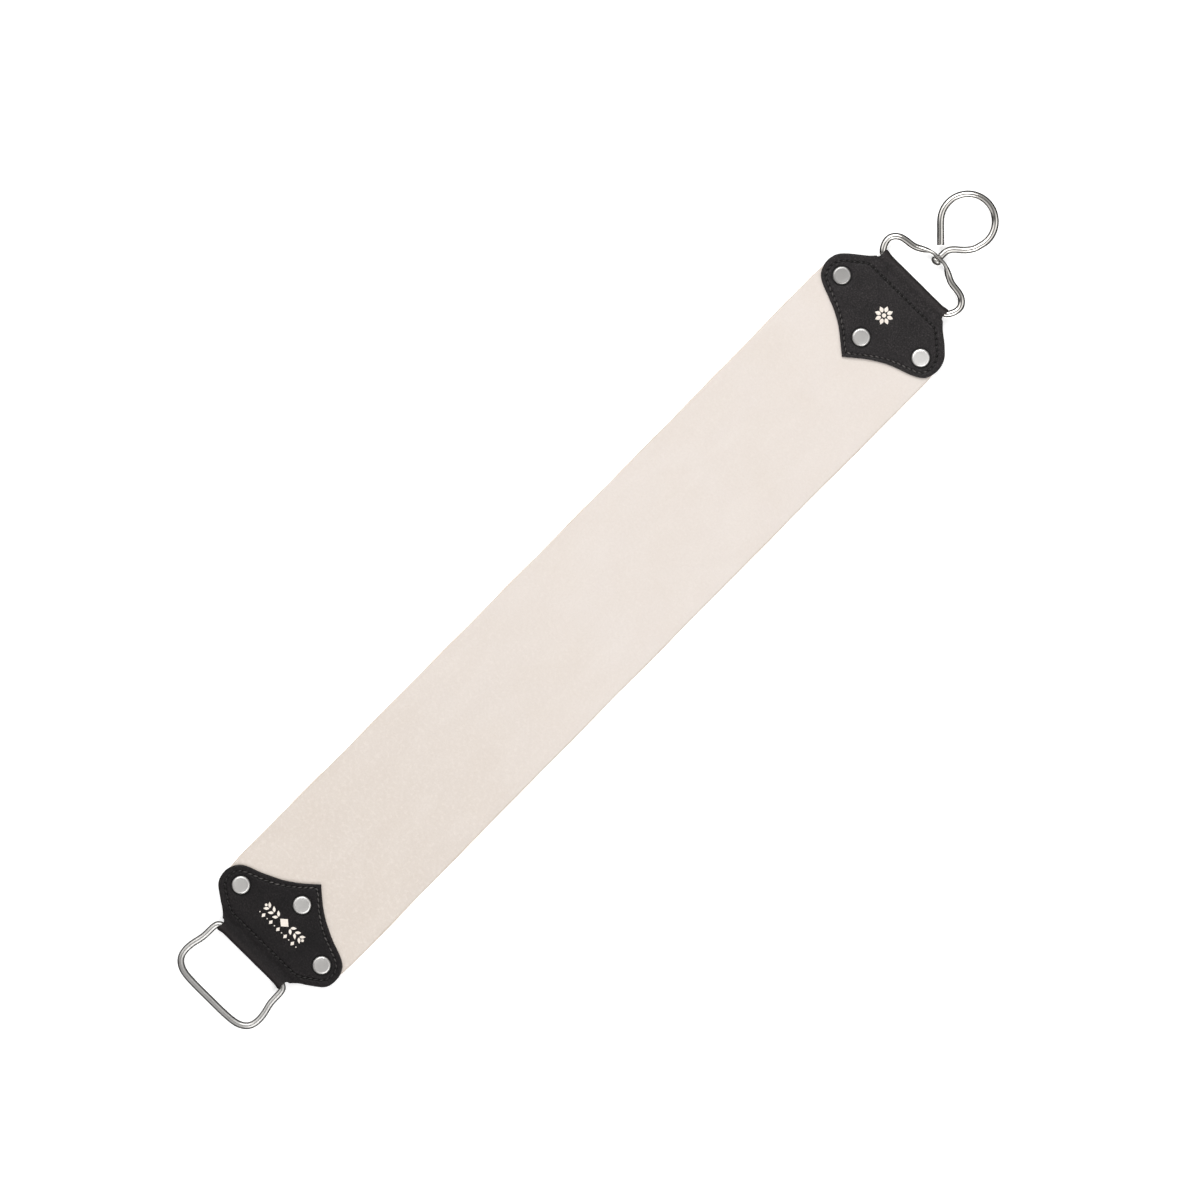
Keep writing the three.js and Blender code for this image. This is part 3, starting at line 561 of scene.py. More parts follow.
def cap_sheet(outline, seam, side, rivets, ornament, seed, lean):
    """The cap's flat pattern, cut out and filled with points where detail is needed."""
    half = catmull([(h, s) for s, h in outline if s >= 2.2] + [], per=12)
    half = half[::1]
    # From the front tip to the fold, then round to the back tip, on the right-hand side.
    pts_front = [(h, float(p_of_s(s))) for h, s in half[::-1]]
    low = [(18.4, float(p_of_s(2.0))), (18.22, 1.6), (18.15, 0.0), (18.22, -1.6), (18.4, -float(p_of_s(2.0)))]
    right = pts_front + low + [(h, -p) for h, p in reversed(pts_front)]
    right = resample(np.array(right), step=0.5)
    right[0, 0] = right[-1, 0] = 0.0
    left = right[1:-1][::-1] * np.array([-1, 1])
    boundary = np.vstack([right, left])
    # A hand-cut edge is never quite true.
    tangent = np.roll(boundary, -1, axis=0) - np.roll(boundary, 1, axis=0)
    normal = np.stack([tangent[:, 1], -tangent[:, 0]], axis=1) / np.linalg.norm(tangent, axis=1)[:, None]
    wob = 0.07 * waves(boundary[:, 0], boundary[:, 1], 9, seed)
    calm = smoothstep(0, 3, np.abs(boundary[:, 0])) * smoothstep(0.0, 6.0, np.abs(boundary[:, 1]))
    boundary = askew(boundary + normal * (wob * calm)[:, None], lean)

    line = catmull([(h, s) for s, h in seam] , per=10)
    seam_right = np.array([(h, float(p_of_s(s))) for h, s in line])
    loop = np.vstack([seam_right, seam_right[1:-1][::-1] * np.array([-1, 1])])
    total = np.linalg.norm(np.roll(loop, -1, axis=0) - loop, axis=1).sum()
    count = int(round(total / 2.4))
    fine_loop = resample(loop, count=count * 8, closed=True)
    fine_loop = askew(blur(fine_loop, 1.6, closed=True), lean)
    holes = fine_loop[::8]
    loops = {1: fine_loop, -1: fine_loop * np.array([1, -1])}

    cells, points = {}, []

    def put(x, p, gap, inside=0.0):
        key = (int(math.floor(x / 0.6)), int(math.floor(p / 0.6)))
        r = int(math.ceil(gap / 0.6))
        for i in range(key[0] - r, key[0] + r + 1):
            for j in range(key[1] - r, key[1] + r + 1):
                for q in cells.get((i, j), ()):
                    if (q[0] - x) ** 2 + (q[1] - p) ** 2 < gap * gap:
                        return
        cells.setdefault(key, []).append((x, p))
        points.append((x, p))

    for b in boundary:
        cells.setdefault((int(math.floor(b[0] / 0.6)), int(math.floor(b[1] / 0.6))), []).append(tuple(b))
        points.append(tuple(b))
    nb = len(points)
    wanted = []  # (x, p, gap, least distance from the cut edge)
    for inset in (0.1, 0.24, 0.45, 0.75, 1.1):
        ring = boundary - normal * inset
        if np.linalg.norm(ring[0]) > np.linalg.norm(boundary[0]):
            ring = boundary + normal * inset
        wanted += [(x, p, 0.09 if inset < 0.3 else 0.2, inset * 0.93) for x, p in ring]
    for sg in (1, -1):
        for hx, hp in holes:
            wanted.append((hx, hp * sg, 0.12, 0.3))
            for r, m in ((0.24, 6), (0.48, 8)):
                wanted += [(hx + r * math.cos(2 * math.pi * i / m), hp * sg + r * math.sin(2 * math.pi * i / m), 0.16, 0.3) for i in range(m)]
        fl = resample(loops[sg], step=0.5, closed=True)
        t = np.roll(fl, -1, axis=0) - np.roll(fl, 1, axis=0)
        nm = np.stack([t[:, 1], -t[:, 0]], axis=1) / np.linalg.norm(t, axis=1)[:, None]
        for off in (0, 0.4, -0.4, 0.8, -0.8, 1.3, -1.3):
            wanted += [(x, p, 0.26, 0.5) for x, p in fl + nm * off]
        for rx, ry in rivets:
            rp = sg * float(p_of_s(FOLD_Y - side * ry))
            for r, m in ((2.6, 20), (3.5, 26), (3.9, 40), (4.2, 40), (4.6, 40), (5.1, 40), (5.8, 36), (6.6, 36)):
                wanted += [(rx + r * math.cos(2 * math.pi * i / m), rp + r * math.sin(2 * math.pi * i / m), 0.3, 0.5) for i in range(m)]
    for p in np.arange(-9.6, 9.61, 0.4):
        for x in np.arange(-24, 24.1, 0.8):
            wanted.append((x, float(p), 0.33, 0.5))
    row = 0
    for p in np.arange(-46, 46, 0.78):
        row += 1
        for x in np.arange(-33, 33.1, 0.9):
            wanted.append((x + 0.45 * (row % 2), float(p), 0.55, 0.6))
    w = np.array(wanted)
    edge_d = distance_to_line(w[:, 0], w[:, 1], boundary, closed=True)
    inside = within(w, boundary)
    for (x, p, gap, least), d, ok in zip(wanted, edge_d, inside):
        if ok and d >= least:
            put(x, p, gap)
    co, _, tris, *_ = delaunay_2d_cdt([Vector(q) for q in points], [(i, (i + 1) % nb) for i in range(nb)], [], 0, 1e-7, False)
    co = np.array([tuple(c) for c in co])
    keep = within(np.array([co[list(t)].mean(axis=0) for t in tris]), boundary)
    return co, [list(t) for t, k in zip(tris, keep) if k], boundary, loops, holes


def clear_wire(verts, half, side):
    """Presses the leather back wherever the swinging wire would touch it, at any angle of its swing."""
    v = np.array(verts)
    near = np.where((np.abs(v[:, 0]) > 14) & (np.abs(v[:, 1]) > FOLD_Y - 10))[0]
    q = v[near]
    pivot = side * (FOLD_Y - PIVOT_S)
    wire = resample(blur(resample(catmull(mirrored(half), per=30), step=0.25), 2.4 if side > 0 else 2.6), step=0.3) - np.array([0.0, pivot])
    wire = wire[(np.hypot(np.abs(wire[:, 0]) - 18, wire[:, 1]) < 12)]
    swing = np.radians(np.arange(-113, 113.1, 2.0))
    for a in np.concatenate([swing, swing[::-1]]):
        c, s = math.cos(a), math.sin(a)
        y, z = q[:, 1] - pivot, q[:, 2] - MID
        y, z = c * y + s * z, c * z - s * y
        off = np.stack([q[:, 0][:, None] - wire[:, 0], y[:, None] - wire[:, 1]], axis=2)
        k = np.argmin((off ** 2).sum(axis=2), axis=1)
        away = np.column_stack([off[np.arange(len(q)), k], z])
        dist = np.maximum(np.linalg.norm(away, axis=1), 1e-6)
        away *= (np.maximum(WIRE_R + 0.13 - dist, 0) / dist)[:, None]
        q = q + np.column_stack([away[:, 0], c * away[:, 1] - s * away[:, 2], s * away[:, 1] + c * away[:, 2]])
    v[near] = q
    return v


def build_cap(name, node, outline, seam, side, material, ornament, seed, lean):
    rivets = [RIVETS[k] for k in RIVETS if k.startswith("top" if side > 0 else "bottom")]
    co, tris, boundary, loops, holes = cap_sheet(outline, seam, side, rivets, ornament, seed, lean)
    x, p = co[:, 0], co[:, 1]
    d_edge = distance_to_line(x, p, boundary, closed=True)
    d_seam = np.minimum(distance_to_line(x, p, loops[1], closed=True), distance_to_line(x, p, loops[-1], closed=True))
    allholes = np.vstack([holes, holes * np.array([1, -1])])
    d_hole = np.full(len(x), 1e9)
    for hx, hp in allholes:
        d_hole = np.minimum(d_hole, np.hypot(x - hx, p - hp))
    s_plan, z_out, ns, nz, th = cap_frame(x, p)
    s_flat = np.abs(p) - QUARTER + PIVOT_S
    on_panel = smoothstep(9.0, 12.0, s_flat)
    disp = np.zeros(len(x))
    disp -= 0.17 * np.exp(-((d_seam / 0.6) ** 2))
    disp -= 0.50 * np.exp(-((d_hole / 0.36) ** 2))
    # Leather swells a little between the seam and the middle, and rolls up between the seam and the cut edge.
    disp += 0.09 * on_panel * smoothstep(0.6, 3.2, d_seam) * (d_edge > 1.5)
    disp += 0.05 * np.exp(-(((d_edge - 1.0) / 0.5) ** 2))
    calm = np.ones(len(x))
    # Painted shade in and around the stitch holes.
    hole_and_rivet_shade = 1 - smoothstep(0.32, 0.85, d_hole)
    for rx, ry in rivets:
        rp = float(p_of_s(FOLD_Y - side * ry))
        dr = np.hypot(x - rx, np.abs(p) - rp)
        # Painted shadow ring round the rivet's head.
        hole_and_rivet_shade = np.maximum(hole_and_rivet_shade, 0.85 * (1 - smoothstep(4.05, 4.9, dr)))
        disp -= 0.26 * (1 - smoothstep(3.7, 6.3, dr))
        calm *= smoothstep(3.5, 7, dr)
    ox, oy, ow, oh = ornament
    op = float(p_of_s(FOLD_Y - side * oy))
    far = np.maximum(np.abs(x - ox) - ow / 2, np.abs(p - op) - oh / 2)
    inside = 1 - smoothstep(0.1, 1.6, far)
    disp -= 0.07 * inside
    calm *= 1 - inside
    disp += calm * (0.035 * waves(x, p, 13, seed + 1) + 0.02 * waves(x, p, 4.5, seed + 2))
    # Soft creases run along the pressed valley beside the fold.
    valley = np.exp(-(((s_flat - 5.6) / 2.2) ** 2))
    disp += valley * (0.05 * waves(x * 0.35, p, 2.4, seed + 3) + 0.05 * waves(x, p * 0.3, 5.0, seed + 4))
    r = np.minimum(0.42, 0.42 * th)
    drop = np.where(d_edge < r, r - np.sqrt(np.maximum(r * r - (r - np.minimum(d_edge, r)) ** 2, 0)), 0)
    disp = np.maximum(disp, -0.5 * th) - drop
    outer = np.stack([x, side * (FOLD_Y - (s_plan + ns * disp)), MID + z_out + nz * disp], axis=1)
    inner = np.stack([x, side * (FOLD_Y - (s_plan - ns * th)), MID + z_out - nz * th], axis=1)
    n = len(co)
    # Cut edges: every triangle edge used once.
    used = {}
    for a, b, c in tris:
        for e in ((a, b), (b, c), (c, a)):
            used[e] = used.get(e, 0) + 1
    rim = [e for e in used if (e[1], e[0]) not in used]
    verts = list(outer) + list(inner)
    edge = list(1 - smoothstep(0.05, 0.75, d_edge)) + list(np.ones(n) * 0.0)
    # Weight of the painted highlight along the rounded fold.
    fold = list(np.exp(-((np.maximum(s_plan, 0) - 1.4) / 1.6) ** 2)) + [0.0] * n
    rows = {}
    for i in {v for e in rim for v in e}:
        rows[i] = []
        for t in (0.34, 0.67):
            rows[i].append(len(verts))
            verts.append(outer[i] * (1 - t) + inner[i] * t)
            edge.append(1.0)
            fold.append(0.0)
    hole_and_rivet_shade = list(hole_and_rivet_shade) + [0.0] * (len(verts) - n)
    faces = [list(t) for t in tris] + [[c + n, b + n, a + n] for a, b, c in tris]
    for a, b in rim:
        chain_a = [a] + rows[a] + [a + n]
        chain_b = [b] + rows[b] + [b + n]
        for i in range(3):
            faces.append([chain_b[i], chain_a[i], chain_a[i + 1], chain_b[i + 1]])
    verts = clear_wire(verts, BAIL_LINE if side > 0 else HANDLE_LINE, side)
    ob = make_mesh(name, verts, faces, material, 62, {"edge": edge, "fold": fold, "hole_and_rivet_shade": hole_and_rivet_shade})
    place(ob, "strop", "cap_leather", node)
    return loops


TOP_ORNAMENT = (0.4, 179.7, 8.3, 8.2)
BOTTOM_ORNAMENT = (0.3, -180.1, 23.0, 7.4)
top_loops = build_cap("top_cap_leather", "top_cap", TOP_OUTLINE, TOP_SEAM, 1, TOP_CAP, TOP_ORNAMENT, 11, 0.013)
bottom_loops = build_cap("bottom_cap_leather", "bottom_cap", BOTTOM_OUTLINE, BOTTOM_SEAM, -1, BOTTOM_CAP, BOTTOM_ORNAMENT, 23, 0.004)


# ---- tubes ----
def sweep(points, section, sides, closed=False, up=(0, 0, 1)):
    """Skins rings along a line. section(i) gives (in-plane radius, height radius). Returns verts, faces, uvs."""
    pts = np.asarray(points, float)
    if closed:
        t = np.roll(pts, -1, axis=0) - np.roll(pts, 1, axis=0)
    else:
        t = np.gradient(pts, axis=0)
    t /= np.maximum(np.linalg.norm(t, axis=1), 1e-9)[:, None]
    up = np.array(up, float)
    side = np.cross(t, up)
    side /= np.linalg.norm(side, axis=1)[:, None]
    top = np.cross(side, t)
    length = np.concatenate([[0], np.cumsum(np.linalg.norm(np.diff(pts, axis=0), axis=1))])
    verts, faces, uvs = [], [], []
    n = len(pts)
    for i in range(n):
        a, b = section(i)
        for k in range(sides):
            w = 2 * math.pi * k / sides
            verts.append(pts[i] + side[i] * a * math.cos(w) + top[i] * b * math.sin(w))
    rings = n if closed else n - 1
    for i in range(rings):
        j = (i + 1) % n
        u0, u1 = length[i], (length[j] if j else length[-1] + np.linalg.norm(pts[0] - pts[-1]))
        for k in range(sides):
            m = (k + 1) % sides
            faces.append([i * sides + k, i * sides + m, j * sides + m, j * sides + k])
            uvs.append([(u0, k / sides), (u0, (k + 1) / sides), (u1, (k + 1) / sides), (u1, k / sides)])
    if not closed:
        for i, sgn in ((0, 1), (n - 1, -1)):
            c = len(verts)
            verts.append(pts[i])
            for k in range(sides):
                m = (k + 1) % sides
                f = [c, i * sides + m, i * sides + k]
                faces.append(f if sgn > 0 else f[::-1])
                uvs.append([(length[i], 0.5)] * 3)
    return verts, faces, uvs


def rounded_ends(line, round_mm=0.3):
    """Adds stations so that a cut end has a small radius. Returns the line and a scale for each station's radius."""
    steps = [(0.0, 0.55), (0.03, 0.78), (0.1, 0.9), (0.2, 0.97), (0.32, 1.0)]
    t0 = (line[1] - line[0]) / np.linalg.norm(line[1] - line[0])
    t1 = (line[-2] - line[-1]) / np.linalg.norm(line[-2] - line[-1])
    keep = line[1:-1]
    keep = keep[(np.linalg.norm(keep - line[0], axis=1) > 0.4) & (np.linalg.norm(keep - line[-1], axis=1) > 0.4)]
    start = [line[0] + t0 * d for d, _ in steps]
    end = [line[-1] + t1 * d for d, _ in reversed(steps)]
    scale = [k for _, k in steps] + [1.0] * len(keep) + [k for _, k in reversed(steps)]
    return np.vstack([start, keep, end]), scale


def build_handle():
    line = catmull(mirrored(HANDLE_LINE), per=30)
    line = blur(resample(line, step=0.25), 2.6)
    line = resample(line, step=0.42)
    pts = np.column_stack([line, np.full(len(line), MID)])
    pts, scale = rounded_ends(pts)
    # Hand-bent wire, swept with a round section of one size, narrowed only at the rounded ends.
    v, f, uv = sweep(pts, lambda i: (WIRE_R * scale[i], WIRE_R * scale[i]), 28)
    ob = make_mesh("handle_ring_wire", v, f, SATIN, 60, uv=uv)
    return place(ob, "handle", "satin_nickel", "handle_ring")


def build_bail():
    line = catmull(mirrored(BAIL_LINE), per=30)
    line = blur(resample(line, step=0.25), 2.4)
    line = resample(line, step=0.36)
    pts = np.column_stack([line, np.full(len(line), MID)])
    pts, scale = rounded_ends(pts)

    def section(i):
        u = abs(pts[i][0]) if pts[i][1] > 206 else 50
        flat = 1 - float(smoothstep(1.8, 8.6, u))
        wide = 1 - float(smoothstep(1.5, 9.0, u))
        a = WIRE_R * (1 + (EYE_HALF / WIRE_R - 1) * flat) * scale[i]
        b = WIRE_R * (1 + 0.55 * wide) * scale[i]
        return a, b

    v, f, uv = sweep(pts, section, 32)
    # Flat hammered faces on the eye: the section is squared off where it is thin.
    v = np.array(v)
    u = np.abs(v[:, 0])
    on = (v[:, 1] > 206) & (u < 7.4)
    k = (1 - smoothstep(2.6, 6.5, u)) * on
    dy = v[:, 1] - np.interp(v[:, 0], *zip(*sorted([(q[0], q[1]) for q in pts if q[1] > 206])))
    dz = (v[:, 2] - MID) / (WIRE_R * 1.55)
    flat_dy = np.sign(dy) * EYE_HALF * np.sqrt(np.clip(1 - np.abs(dz) ** 3, 0, 1))
    v[:, 1] += np.where(on, k * (flat_dy - dy), 0)
    ob = make_mesh("hanging_bail_wire", v, f, BRIGHT, 60, uv=uv)
    # The eye is drilled through.
    import bmesh

    bm = bmesh.new()
    bmesh.ops.create_cone(bm, segments=32, radius1=1.3 * MM, radius2=1.3 * MM, depth=5 * MM, cap_ends=True)
    bmesh.ops.rotate(bm, verts=bm.verts, cent=(0, 0, 0), matrix=Matrix.Rotation(math.pi / 2, 3, "X"))
    bmesh.ops.translate(bm, verts=bm.verts, vec=(0, EYE_Y * MM, MID * MM))
    me = bpy.data.meshes.new("drill")
    bm.to_mesh(me)
    bm.free()
    drill = bpy.data.objects.new("drill", me)
    scene.collection.objects.link(drill)
    cut = ob.modifiers.new("eye", "BOOLEAN")
    cut.operation, cut.object, cut.solver = "DIFFERENCE", drill, "EXACT"
    bpy.context.view_layer.update()
    done = bpy.data.meshes.new_from_object(ob.evaluated_get(bpy.context.evaluated_depsgraph_get()))
    ob.modifiers.clear()
    old = ob.data
    ob.data = done
    done.name = "hanging_bail_wire"
    bpy.data.meshes.remove(old)
    bpy.data.objects.remove(drill)
    bpy.data.meshes.remove(me)
    ob.data.polygons.foreach_set("use_smooth", [True] * len(ob.data.polygons))
    ob.data.set_sharp_from_angle(angle=math.radians(50))
    # Painted shade and extra roughness on the hammered eye.
    eye_dull_and_shade = [0.95 * (1 - float(smoothstep(3.5, 9.5, abs(q.co.x) / MM))) if q.co.y / MM > 206 else 0.0 for q in ob.data.vertices]
    ob.data.attributes.new("dull_and_shade", "FLOAT", "POINT").data.foreach_set("value", eye_dull_and_shade)
    return place(ob, "bail", "bright_nickel", "hanging_bail")


def build_hook():
    cx, cy = HOOK_CENTRE
    line = [(-3.25, 217.4), (-5.3, 219.5), (-7.6, 221.82)]
    for a in range(222, -21, -11):
        t = math.radians(a)
        line.append((cx + HOOK_R * math.cos(t), cy + HOOK_R * math.sin(t)))
    line += [(8.05, 227.1), (6.9, 225.1), (5.55, 223.45), (4.0, 222.0), (2.35, 220.65), (0.95, 219.1), (0.2, 217.6), (0, 216.3), (0, 215.2), (0, 214.4)]
    path = catmull(line, per=24)
    path = blur(resample(path, step=0.25), 2.2)
    path = resample(path, step=0.38)
    path[-6:, 0] = 0.0
    steps = [(0.0, 0.5), (0.03, 0.76), (0.1, 0.9), (0.2, 0.97), (0.32, 1.0)]
    t0 = (path[1] - path[0]) / np.linalg.norm(path[1] - path[0])
    start = [path[0] + t0 * d for d, _ in steps]
    keep = path[np.linalg.norm(path - path[0], axis=1) > 0.4]
    top, low = EYE_Y + EYE_HALF + 0.12, EYE_Y - EYE_HALF - 0.12
    # Shank, shoulder, neck through the eye and riveted-over head, all on the axis x = 0.
    tail = [(top + 0.35, WIRE_R), (top + 0.2, 1.46), (top + 0.08, 1.40), (top, 1.28), (top - 0.03, 1.12), (EYE_Y, 1.12),
            (low + 0.03, 1.12), (low, 1.5), (low - 0.02, 2.05), (low - 0.14, 2.28), (low - 0.4, 2.38), (low - 0.75, 2.36),
            (low - 1.1, 2.24), (low - 1.45, 2.02), (low - 1.75, 1.72), (low - 2.0, 1.34), (low - 2.18, 0.92), (low - 2.28, 0.46)]
    pts = np.vstack([start, keep, [(0.0, y) for y, _ in tail]])
    radius = [WIRE_R * k for _, k in steps] + [WIRE_R] * len(keep) + [r for _, r in tail]
    pts = np.column_stack([pts, np.full(len(pts), MID)])
    v, f, uv = sweep(pts, lambda i: (radius[i], radius[i]), 28)
    # Painted shade and extra roughness on the head and along the shank.
    dull_and_shade = [1.0 if q[1] < EYE_Y else 0.9 * (1 - float(smoothstep(EYE_Y + 8.5, EYE_Y + 14, q[1]))) * (q[0] > -2) for q in v]
    ob = make_mesh("swivel_hook_wire", v, f, BRIGHT, 55, {"dull_and_shade": dull_and_shade}, uv=uv)
    return place(ob, "hook", "bright_nickel", "swivel_hook")


build_handle()
build_bail()
build_hook()


# ---- seam threads: lock stitches that arch over the leather and dive into every hole ----
def build_thread(name, node, loop, side, face):
    """face is 1 for the front panel and -1 for the back."""
    per = 8
    n = len(loop)
    t = np.roll(loop, -1, axis=0) - np.roll(loop, 1, axis=0)
    nm = np.stack([t[:, 1], -t[:, 0]], axis=1) / np.linalg.norm(t, axis=1)[:, None]
    phase = (np.arange(n) % per) / per
    slant = 0.2 * np.cos(math.pi * phase) * np.where(phase < 1, 1, 0)
    slant = np.where(phase == 0, 0, slant)
    rng = np.random.default_rng(5 + (side > 0) + 2 * (face > 0))
    jitter = np.repeat(rng.uniform(-0.06, 0.06, n // per + 1), per)[:n]
    line = loop + nm * (slant + jitter * np.sin(math.pi * phase))[:, None]
    x, p = line[:, 0], np.abs(line[:, 1])
    s, z, ns, nz, th = cap_frame(x, p)
    rise = np.sin(math.pi * phase) ** 0.5
    lift = -0.72 + 0.88 * rise + np.repeat(rng.uniform(-0.03, 0.03, n // per + 1), per)[:n] * rise
    pts = np.stack([x, side * (FOLD_Y - s), MID + face * (z + lift - 0.05)], axis=1)
    v, f, uv = sweep(pts, lambda i: (0.27, 0.26), 10, closed=True)
    # Painted highlights: glints on the tops of the stitches along the curved edges.
    glint = np.repeat(rng.uniform(0.15, 1.0, n // per + 1), per)[:n] * np.sin(math.pi * phase) ** 2 * smoothstep(22, 27, s)
    ob = make_mesh(name, v, f, THREAD, attributes={"stitch_glint": np.repeat(glint, 10)}, uv=uv)
    return place(ob, "strop", "seam_thread", node)


for end, loops, side in (("top", top_loops, 1), ("bottom", bottom_loops, -1)):
    build_thread(f"{end}_needle_stitches", f"{end}_cap_needle_thread", loops[1], side, 1)
    build_thread(f"{end}_bobbin_stitches", f"{end}_cap_bobbin_thread", loops[1], side, -1)


# ---- rivets ----
def lathe(profile, segments, cx, cy):
    verts, faces = [], []
    index = []
    for r, z in profile:
        if r < 1e-6:
            index.append([len(verts)] * segments)
            verts.append((cx, cy, z))
        else:
            index.append(list(range(len(verts), len(verts) + segments)))
            verts += [(cx + r * math.cos(2 * math.pi * i / segments), cy + r * math.sin(2 * math.pi * i / segments), z) for i in range(segments)]
    for a, b in zip(index, index[1:]):
        for i in range(segments):
            j = (i + 1) % segments
            f = []
            for v in (a[i], a[j], b[j], b[i]):
                if v not in f:
                    f.append(v)
            if len(f) > 2:
                faces.append(f)
    return verts, faces


def build_rivets():
    base = CAP_FACE + 0.03
    low = STRAP_BOTTOM - (CAP_FACE - STRAP_TOP) - 0.03
    head = [(1.5, -0.12), (3.3, -0.16), (3.62, -0.2), (3.78, -0.16), (3.87, 0.0), (3.9, 0.18), (3.885, 0.36), (3.82, 0.54), (3.7, 0.71),
            (3.53, 0.85), (3.32, 0.95), (3.1, 1.01), (2.9, 1.035), (2.72, 1.03), (2.55, 1.01), (2.2, 0.995), (1.2, 0.985), (0, 0.98)]
    for i, (name, (cx, cy)) in enumerate(RIVETS.items()):
        front = [(0, low + 4.1), (1.06, low + 4.1), (1.06, low + 0.7), (1.5, low + 0.7)] + [(r, base + z) for r, z in head]
        v, f = lathe(front, 72, cx, cy)
        v = np.array(v)
        # Each cap is set with a hammer, so its crown is tipped by a fraction of a degree and very slightly dented.
        rng = np.random.default_rng(40 + i)
        tilt = rng.uniform(-0.012, 0.012, 2)
        up = v[:, 2] > base - 0.3
        v[up, 2] += (v[up, 0] - cx) * tilt[0] + (v[up, 1] - cy) * tilt[1]
        v[up, 2] += 0.012 * waves(v[up, 0], v[up, 1], 3.2, 60 + i) * (v[up, 2] > base + 0.9)
        # Painted gleam: each rivet's colour is made lighter or darker for how brightly it catches the light.
        painted_gleam = {"top_left_rivet": 0.67, "top_centre_rivet": 0.85, "top_right_rivet": 1.22, "bottom_right_rivet": 0.88, "bottom_left_rivet": 0.94}.get(name, 1.0)
        ob = make_mesh(name + "_cap_front", v, f, RIVET, 50, {"painted_gleam": [painted_gleam] * len(v)})
        place(ob, "strop", "rivet_nickel", name + "_front")
        back = [(r, low - z) for r, z in reversed(head[1:])] + [(1.0, low + 0.12), (1.0, low + 3.6), (0, low + 3.6)]
        v, f = lathe(back, 72, cx, cy)
        ob = make_mesh(name + "_cap_back", v, f, RIVET, 50, {"painted_gleam": [0.95] * len(v)})
        place(ob, "strop", "rivet_nickel", name + "_back")


build_rivets()


# ---- stamped ornaments: plain generic shapes in cream foil, sunk into the leather ----
def plates(name, polygons, z0, z1, material):
    verts, faces = [], []
    for poly in polygons:
        area = sum(a[0] * b[1] - b[0] * a[1] for a, b in zip(poly, poly[1:] + poly[:1]))
        if area < 0:
            poly = poly[::-1]
        n, start = len(poly), len(verts)
        cx, cy = sum(q[0] for q in poly) / n, sum(q[1] for q in poly) / n
        verts += [(x, y, z0) for x, y in poly]
        verts += [(x, y, z1 - 0.03) for x, y in poly]
        verts += [(cx + (x - cx) * 0.93, cy + (y - cy) * 0.93, z1) for x, y in poly]
        for i in range(n):
            j = (i + 1) % n
            faces.append([start + i, start + j, start + n + j, start + n + i])
            faces.append([start + n + i, start + n + j, start + 2 * n + j, start + 2 * n + i])
        faces.append([start + 2 * n + i for i in range(n)])
        faces.append([start + i for i in reversed(range(n))])
    return make_mesh(name, verts, faces, material, 30)


def petal(cx, cy, angle, r0, r1, width, n=10):
    """A pointed leaf from r0 to r1 along angle."""
    c, s = math.cos(angle), math.sin(angle)
    up = [(r0 + (r1 - r0) * t, width / 2 * math.sin(math.pi * t ** 0.85)) for t in np.linspace(0, 1, n + 1)]
    line = up + [(r, -w) for r, w in reversed(up[1:-1])]
    return [(cx + r * c - w * s, cy + r * s + w * c) for r, w in line]


def disc(cx, cy, r, n=20, ry=None):
    return [(cx + r * math.cos(2 * math.pi * i / n), cy + (ry or r) * math.sin(2 * math.pi * i / n)) for i in range(n)]


def build_ornaments():
    face = CAP_FACE + 0.035
    cx, cy = TOP_ORNAMENT[:2]
    shapes = [disc(cx, cy, 0.95)]
    shapes += [petal(cx, cy, math.radians(45 * k + 22.5), 1.3, 4.1, 1.75) for k in range(8)]
    ob = plates("top_cap_rosette", shapes, face - 0.25, face, FOIL)
    place(ob, "strop")
    cx, cy = BOTTOM_ORNAMENT[:2]
    shapes = []
    y = cy + 1.5
    shapes += [[(cx - 2.5, y), (cx, y + 2.2), (cx + 2.5, y), (cx, y - 2.2)]]
    for sgn in (1, -1):
        for x0 in (3.3, 5.9, 8.5):
            for up in (1, -1):
                shapes.append(petal(cx + sgn * x0, y, math.radians(90 - sgn * 90 + sgn * up * 42), 0.2, 2.9, 1.25))
        shapes.append(disc(cx + sgn * 10.7, y, 0.62))
    y = cy - 2.35
    for k in range(-5, 6):
        w, h = (0.85, 1.15) if k % 2 == 0 else (0.34, 0.34)
        shapes.append([(cx + 2.12 * k - w, y), (cx + 2.12 * k, y + h), (cx + 2.12 * k + w, y), (cx + 2.12 * k, y - h)])
    ob = plates("bottom_cap_border", shapes, face - 0.25, face, FOIL)
    place(ob, "strop")


build_ornaments()


